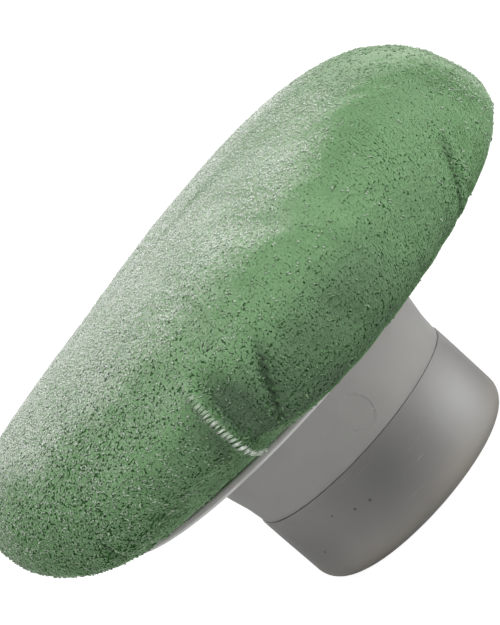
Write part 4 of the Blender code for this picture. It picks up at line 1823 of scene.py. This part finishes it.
    def combs(self, plain: np.ndarray, creases: Sequence[Crease]) -> Spikes:
        """Lays the pale fibres that lie side by side across a fold's ridge, like the teeth of a comb.

        Args:
            plain: The cloth before it is folded.
            creases: The folds.

        Returns:
            The fibres.
        """
        draw = np.random.default_rng(self.seed + 2)
        normal = grid_normals(plain)
        round_ = np.roll(plain, -1, axis=1) - np.roll(plain, 1, axis=1)
        round_ /= np.linalg.norm(round_, axis=2, keepdims=True)
        turn = np.degrees(np.arctan2(plain[..., 1], plain[..., 0]))
        radius = np.hypot(plain[..., 0], plain[..., 1])
        roots, tips, tints = [], [], []
        for crease in creases:
            if crease.white <= 0.0:
                continue
            for tooth in range(self.comb_teeth):
                share = (tooth + draw.uniform(-0.25, 0.25)) / self.comb_teeth * 1.10 - 0.03
                height = crease.height_low + (crease.height_high - crease.height_low) * share
                line = crease.turn_low + (crease.turn_high - crease.turn_low) * share
                line += math.degrees(crease.ridge_at / 0.043)
                off = np.radians((turn - line + 180.0) % 360.0 - 180.0) * radius
                inside = np.where(radius > self.back_radius + 0.001, 0.0, 1.0)
                far = np.hypot(off, plain[..., 2] - height) + inside
                at = np.unravel_index(int(np.argmin(far)), far.shape)
                pale = 0.88 - 0.32 * abs(share - 0.25) + draw.uniform(-0.12, 0.08)
                taper = 0.40 + 0.60 * min(1.0, max(0.0, (share + 0.03) / 0.24))
                for _ in range(self.comb_fibres):
                    across = round_[at] * draw.uniform(0.75, 1.05)
                    across = across + np.array([0.0, 0.0, draw.normal(-0.12, 0.10)])
                    heading = across + normal[at] * draw.uniform(-0.10, 0.22)
                    lift = crease.ridge * 0.85 + draw.uniform(*self.comb_lift)
                    middle = plain[at] + normal[at] * lift + draw.normal(0.0, 0.00008, 3)
                    half = heading * self.comb_length * 0.5 * draw.uniform(0.8, 1.1) * taper
                    roots.append(middle - half)
                    tips.append(middle + half)
                    tints.append(pale + draw.uniform(-0.06, 0.04))
        width, tint = np.full(len(roots), self.comb_width), np.clip(tints, 0.1, 0.98)
        return Spikes(np.array(roots), np.array(tips), width, tint)

    def model(self, plain: np.ndarray, ground: np.ndarray, creases: Sequence[Crease]) -> list[bpy.types.Object]:
        """Grows the pile on the cloth.

        Args:
            plain: The cloth's outer side before it is folded.
            ground: The cloth's outer side.
            creases: Its folds.

        Returns:
            One piece for each sector of the pad.
        """
        fine = self.fine(ground, creases)
        share = self.cropped_least + self.cropped_more * smooth_step(fine.root[:, 0], -0.030, 0.012)
        blunt = np.random.default_rng(self.seed + 9).uniform(size=len(share)) < share
        sharp, cropped = fine.only(~blunt), fine.only(blunt)
        laid = Spikes.together([self.flecks(ground, creases), self.combs(plain, creases)])
        made = []
        for number in range(self.sectors):
            parts = [self.share(kind, number) for kind in (sharp, cropped, laid)]
            made.append(self.strands(f"plush_pile_{number + 1}", *parts))
        log.info("plush_pile: %d standing and %d lying fibres", len(fine.root), len(laid.root))
        return made

    def share(self, spikes: Spikes, number: int) -> Spikes:
        """Gives the fibres of one sector."""
        turn = np.arctan2(spikes.root[:, 1], spikes.root[:, 0]) / (2.0 * np.pi) % 1.0
        return spikes.only(np.floor(turn * self.sectors).astype(int) % self.sectors == number)

    def strands(self, name: str, sharp: Spikes, cropped: Spikes, laid: Spikes) -> bpy.types.Object:
        """Makes closed three-sided fibres, with tint and height in their map.

        Args:
            name: The piece's name.
            sharp: Fibres that are wide at the root and pointed at the tip.
            cropped: Fibres that are pointed at the root and cut flat at the tip.
            laid: Fibres that are pointed at both ends and widest in the middle.

        Returns:
            The piece.
        """
        points, faces, tint, rise, soft = [], [], [], [], []
        total = 0
        widened = cropped.width * (self.cropped_width / self.width)
        upended = Spikes(cropped.tip, cropped.root, widened, cropped.tint)
        kinds = (
            (sharp, 0.0, [0.02, 0.02, 0.02, 0.98]),
            (upended, 0.0, [0.98, 0.98, 0.98, 0.02]),
            (laid, 0.45, [0.9] * 5),
        )
        for spikes, belly, heights in kinds:
            count = len(spikes.root)
            axis = spikes.tip - spikes.root
            way = axis / np.linalg.norm(axis, axis=1, keepdims=True)
            aside = np.cross(way, np.array([0.31, 0.22, 0.92]))
            aside /= np.linalg.norm(aside, axis=1, keepdims=True)
            other = np.cross(way, aside)
            corners = 4 if belly == 0.0 else 5
            own = np.empty((count, corners, 3))
            for corner in range(3):
                turn = 2.0 * math.pi * corner / 3.0
                arm = (math.cos(turn) * aside + math.sin(turn) * other) * (spikes.width / 2.0)[:, None]
                own[:, corner] = spikes.root + axis * belly + arm
            own[:, 3] = spikes.tip
            pattern = [[0, 1, 3], [1, 2, 3], [2, 0, 3]]
            if belly == 0.0:
                pattern.append([2, 1, 0])
            else:
                own[:, 4] = spikes.root
                pattern += [[1, 0, 4], [2, 1, 4], [0, 2, 4]]
            soft.append(np.full(count * len(pattern), spikes is laid))
            start = total + corners * np.arange(count)[:, None, None]
            faces.append((np.array(pattern)[None] + start).reshape(-1, 3))
            points.append(own.reshape(-1, 3))
            tint.append(np.repeat(spikes.tint, corners))
            rise.append(np.tile(heights, count))
            total += count * corners
        order = np.concatenate(faces)
        piece = mesh_piece(name, np.concatenate(points), order, np.concatenate(soft))
        layer = piece.data.uv_layers.new(name="OFBake")
        values = np.stack([np.concatenate(tint), np.concatenate(rise)], 1)[order.reshape(-1)]
        layer.data.foreach_set("uv", values.astype(np.float32).ravel())
        return piece


@dataclass
class FoamCore:
    """The foam disc under the cover, with its step over the clamp disc and its powder well."""

    gap: float = 0.0009
    base: float = 0.0289
    step_radius: float = 0.0303
    seat: float = 0.0307
    well_radius: float = 0.0120
    well_top: float = 0.0362

    def model(self, ground: np.ndarray, cloth: float) -> bpy.types.Object:
        """Fits the foam inside the cloth.

        Args:
            ground: The cloth's outer side.
            cloth: The cloth's thickness.

        Returns:
            The piece.
        """
        normal = grid_normals(ground)
        inner = (ground - normal * (cloth + self.gap))[::2, ::2]
        keep = inner[..., 2].min(1) > self.base + 0.0006
        crown = inner[: int(np.argmin(keep)) if not keep.all() else len(inner)]
        turn = np.arctan2(crown[-1, :, 1], crown[-1, :, 0])
        lines = [
            (0.0345, self.base + 0.0003), (0.0338, self.base), (self.step_radius, self.base),
            (self.step_radius, self.seat), (self.well_radius + 0.0004, self.seat),
            (self.well_radius, self.seat + 0.0004), (self.well_radius, self.well_top - 0.0006),
            (self.well_radius - 0.0006, self.well_top),
        ]
        low = np.array([[[r * math.cos(t), r * math.sin(t), z] for t in turn] for r, z in lines])
        piece = closed_form("foam_core", np.concatenate([crown, low]), np.array([0.0, 0.0, self.well_top]))
        close_up(piece, 50.0)
        return piece


@dataclass
class GatherCord:
    """The cotton cord in the hem: three strands twisted round each other in a closed ring."""

    ring_radius: float = 0.0241
    height: float = 0.0281
    strand_radius: float = 0.00027
    strand_offset: float = 0.00025
    strands: int = 3
    twists: int = 46
    steps: int = 552
    section: int = 8

    def model(self) -> bpy.types.Object:
        """Winds the strands round the ring.

        Returns:
            The piece.
        """
        turn = 2.0 * np.pi * np.arange(self.steps) / self.steps
        out = np.stack([np.cos(turn), np.sin(turn), np.zeros_like(turn)], 1)
        up = np.array([0.0, 0.0, 1.0])
        around = 2.0 * np.pi * np.arange(self.section) / self.section
        points, faces = [], []
        for strand in range(self.strands):
            wind = turn * self.twists + 2.0 * np.pi * strand / self.strands
            centre = self.ring_radius * out + np.array([0.0, 0.0, self.height])
            centre = centre + self.strand_offset * (np.cos(wind)[:, None] * out + np.sin(wind)[:, None] * up)
            along = np.roll(centre, -1, axis=0) - np.roll(centre, 1, axis=0)
            along /= np.linalg.norm(along, axis=1, keepdims=True)
            first = np.cross(along, up)
            first /= np.linalg.norm(first, axis=1, keepdims=True)
            second = np.cross(along, first)
            tube = centre[None] + self.strand_radius * (
                np.cos(around)[:, None, None] * first[None] + np.sin(around)[:, None, None] * second[None]
            )
            ring = grid_faces(self.section + 1, self.steps)
            ring = np.where(ring >= self.section * self.steps, ring - self.section * self.steps, ring)
            faces.append(ring + len(points) * self.section * self.steps)
            points.append(tube.reshape(-1, 3))
        piece = mesh_piece("hem_cord", np.concatenate(points), np.concatenate(faces))
        layer = piece.data.uv_layers.new(name="Strand")
        within = loop_vertices(piece) % (self.section * self.steps)
        own = np.stack([within % self.steps / self.steps, within // self.steps / self.section], 1)
        layer.data.foreach_set("uv", own.astype(np.float32).ravel())
        to_edit(piece)
        close_up(piece, 80.0)
        return piece


@dataclass
class Pad:
    """The whole pad: cloth, pile, foam and cord."""

    cover: Cover = field(default_factory=Cover)
    pile: Pile = field(default_factory=Pile)
    foam: FoamCore = field(default_factory=FoamCore)
    cord: GatherCord = field(default_factory=GatherCord)

    def build(self) -> None:
        """Makes and dresses the pad's pieces."""
        plain = self.cover.ground()
        ground = self.cover.fold(plain)
        cloth = self.cover.skin(ground)
        dress(cloth, KnitBacking().make(), BODY_PUFF, ["plush_cover"])
        fibre = PileFibre().make()
        for sector in self.pile.model(plain, ground, self.cover.all_creases()):
            dress(sector, fibre, BODY_PUFF)
        core = self.foam.model(plain, self.cover.cloth)
        cells = CellFoam("cushion_foam", (0.78, 0.74, 0.62), (0.55, 0.50, 0.38), 1600.0, 0.00012)
        dress(core, cells.make(), BODY_PUFF, ["foam_pad"])
        dress(self.cord.model(), TwistedCotton().make(), BODY_PUFF, ["gather_cord"])


# The studio


@dataclass(frozen=True)
class SoftLamp:
    """A square area lamp that faces a place on the object."""

    name: str
    direction: Spot
    distance: float
    size: float
    watts: float
    colour: Colour = WHITE
    aim: Spot = (0.0, 0.0, 0.03)

    def build(self) -> None:
        """Hangs the lamp."""
        light = bpy.data.lights.new(self.name, "AREA")
        light.shape = "SQUARE"
        light.size = self.size
        light.energy = self.watts
        light.color = self.colour
        lamp = bpy.data.objects.new(self.name, light)
        bpy.context.scene.collection.objects.link(lamp)
        way = Vector(self.direction).normalized()
        lamp.location = Vector(self.aim) + way * self.distance
        lamp.rotation_euler = way.to_track_quat("Z", "Y").to_euler()


@dataclass
class Studio:
    """Camera, lamps, white surround and floor."""

    aim: Spot = (0.002453, 0.0, 0.0341)
    azimuth: float = -0.516
    elevation: float = 8.479
    roll: float = 48.31
    distance: float = 0.275292
    lens: float = 115.109
    surround: float = 0.22
    floor_size: float = 6.0
    floor_glow: float = 0.64
    floor_shine: float = 1.46
    lamps: tuple[SoftLamp, ...] = (
        SoftLamp("key_lamp", (0.95, -0.25, 0.15), 0.9, 0.5, 4.2),
        SoftLamp("front_lamp", (0.30, -0.60, 0.75), 0.9, 0.5, 3.6),
        SoftLamp("top_lamp", (-0.40, -0.50, 0.77), 0.9, 0.5, 1.0),
        SoftLamp("side_lamp", (-0.50, -0.85, 0.10), 0.9, 0.5, 0.8),
        SoftLamp("back_lamp", (-0.10, 0.92, 0.36), 0.9, 0.6, 3.0),
    )

    def build_camera(self) -> None:
        """Sets the camera at the photograph's angle, turned about its line of sight."""
        turn, rise, roll = (math.radians(value) for value in (self.azimuth, self.elevation, self.roll))
        back = Vector((math.sin(turn) * math.cos(rise), -math.cos(turn) * math.cos(rise), math.sin(rise)))
        level = (Vector((0.0, 0.0, 1.0)) - back * back.z).normalized()
        side = level.cross(back)
        up = level * math.cos(roll) + side * math.sin(roll)
        right = up.cross(back)
        data = bpy.data.cameras.new("camera")
        data.lens = self.lens
        data.sensor_width = 36.0
        data.sensor_fit = "AUTO"
        data.clip_start = 0.01
        camera = bpy.data.objects.new("camera", data)
        bpy.context.scene.collection.objects.link(camera)
        turn_matrix = Matrix((right, up, back)).transposed().to_4x4()
        camera.matrix_world = Matrix.Translation(Vector(self.aim) + back * self.distance) @ turn_matrix
        bpy.context.scene.camera = camera

    def build_surround(self) -> None:
        """Makes the world: white to the camera and in reflections, plain soft light on the object."""
        recipe = Recipe("surround", bpy.data.worlds.new("surround"))
        shown: Value = 0.0
        for kind in ("Camera", "Transmission", "Glossy"):
            ray = recipe.node("ShaderNodeLightPath", output=f"Is {kind} Ray")
            shown = ray.math("MAXIMUM", ray, shown)
        strength = shown * (1.0 - self.surround) + self.surround
        shine = recipe.node("ShaderNodeBackground", inputs={"Color": WHITE, "Strength": strength})
        bpy.context.scene.world = recipe.end(shine, "ShaderNodeOutputWorld")

    def build_floor(self) -> None:
        """Lays the white floor, which keeps a soft shadow."""
        choose_nothing()
        bpy.ops.mesh.primitive_plane_add(size=self.floor_size, location=(0.0, 0.0, 0.0))
        floor = bpy.context.object
        floor.name = "floor"
        recipe = Recipe("floor_white")
        matt = recipe.node("ShaderNodeBsdfDiffuse", inputs={"Color": (0.86, 0.86, 0.86)})
        glow = recipe.node("ShaderNodeEmission", inputs={"Color": WHITE, "Strength": self.floor_shine})
        path = recipe.node("ShaderNodeLightPath", output="Is Camera Ray")
        both = recipe.node("ShaderNodeMixShader", inputs={0: path * self.floor_glow, 1: matt, 2: glow})
        floor.data.materials.append(recipe.end(both))

    def build(self) -> None:
        """Sets up the studio."""
        self.build_camera()
        self.build_surround()
        self.build_floor()
        for lamp in self.lamps:
            lamp.build()
        bpy.context.scene.view_settings.view_transform = "Standard"


def main() -> None:
    """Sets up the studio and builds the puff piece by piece."""
    logging.basicConfig(level=logging.INFO, format="%(name)s: %(message)s")
    for part in (Studio(), ScrewCap(), NeckPlate(), InnerDiscs(), Pad()):
        part.build()


if __name__ == "__main__":
    main()
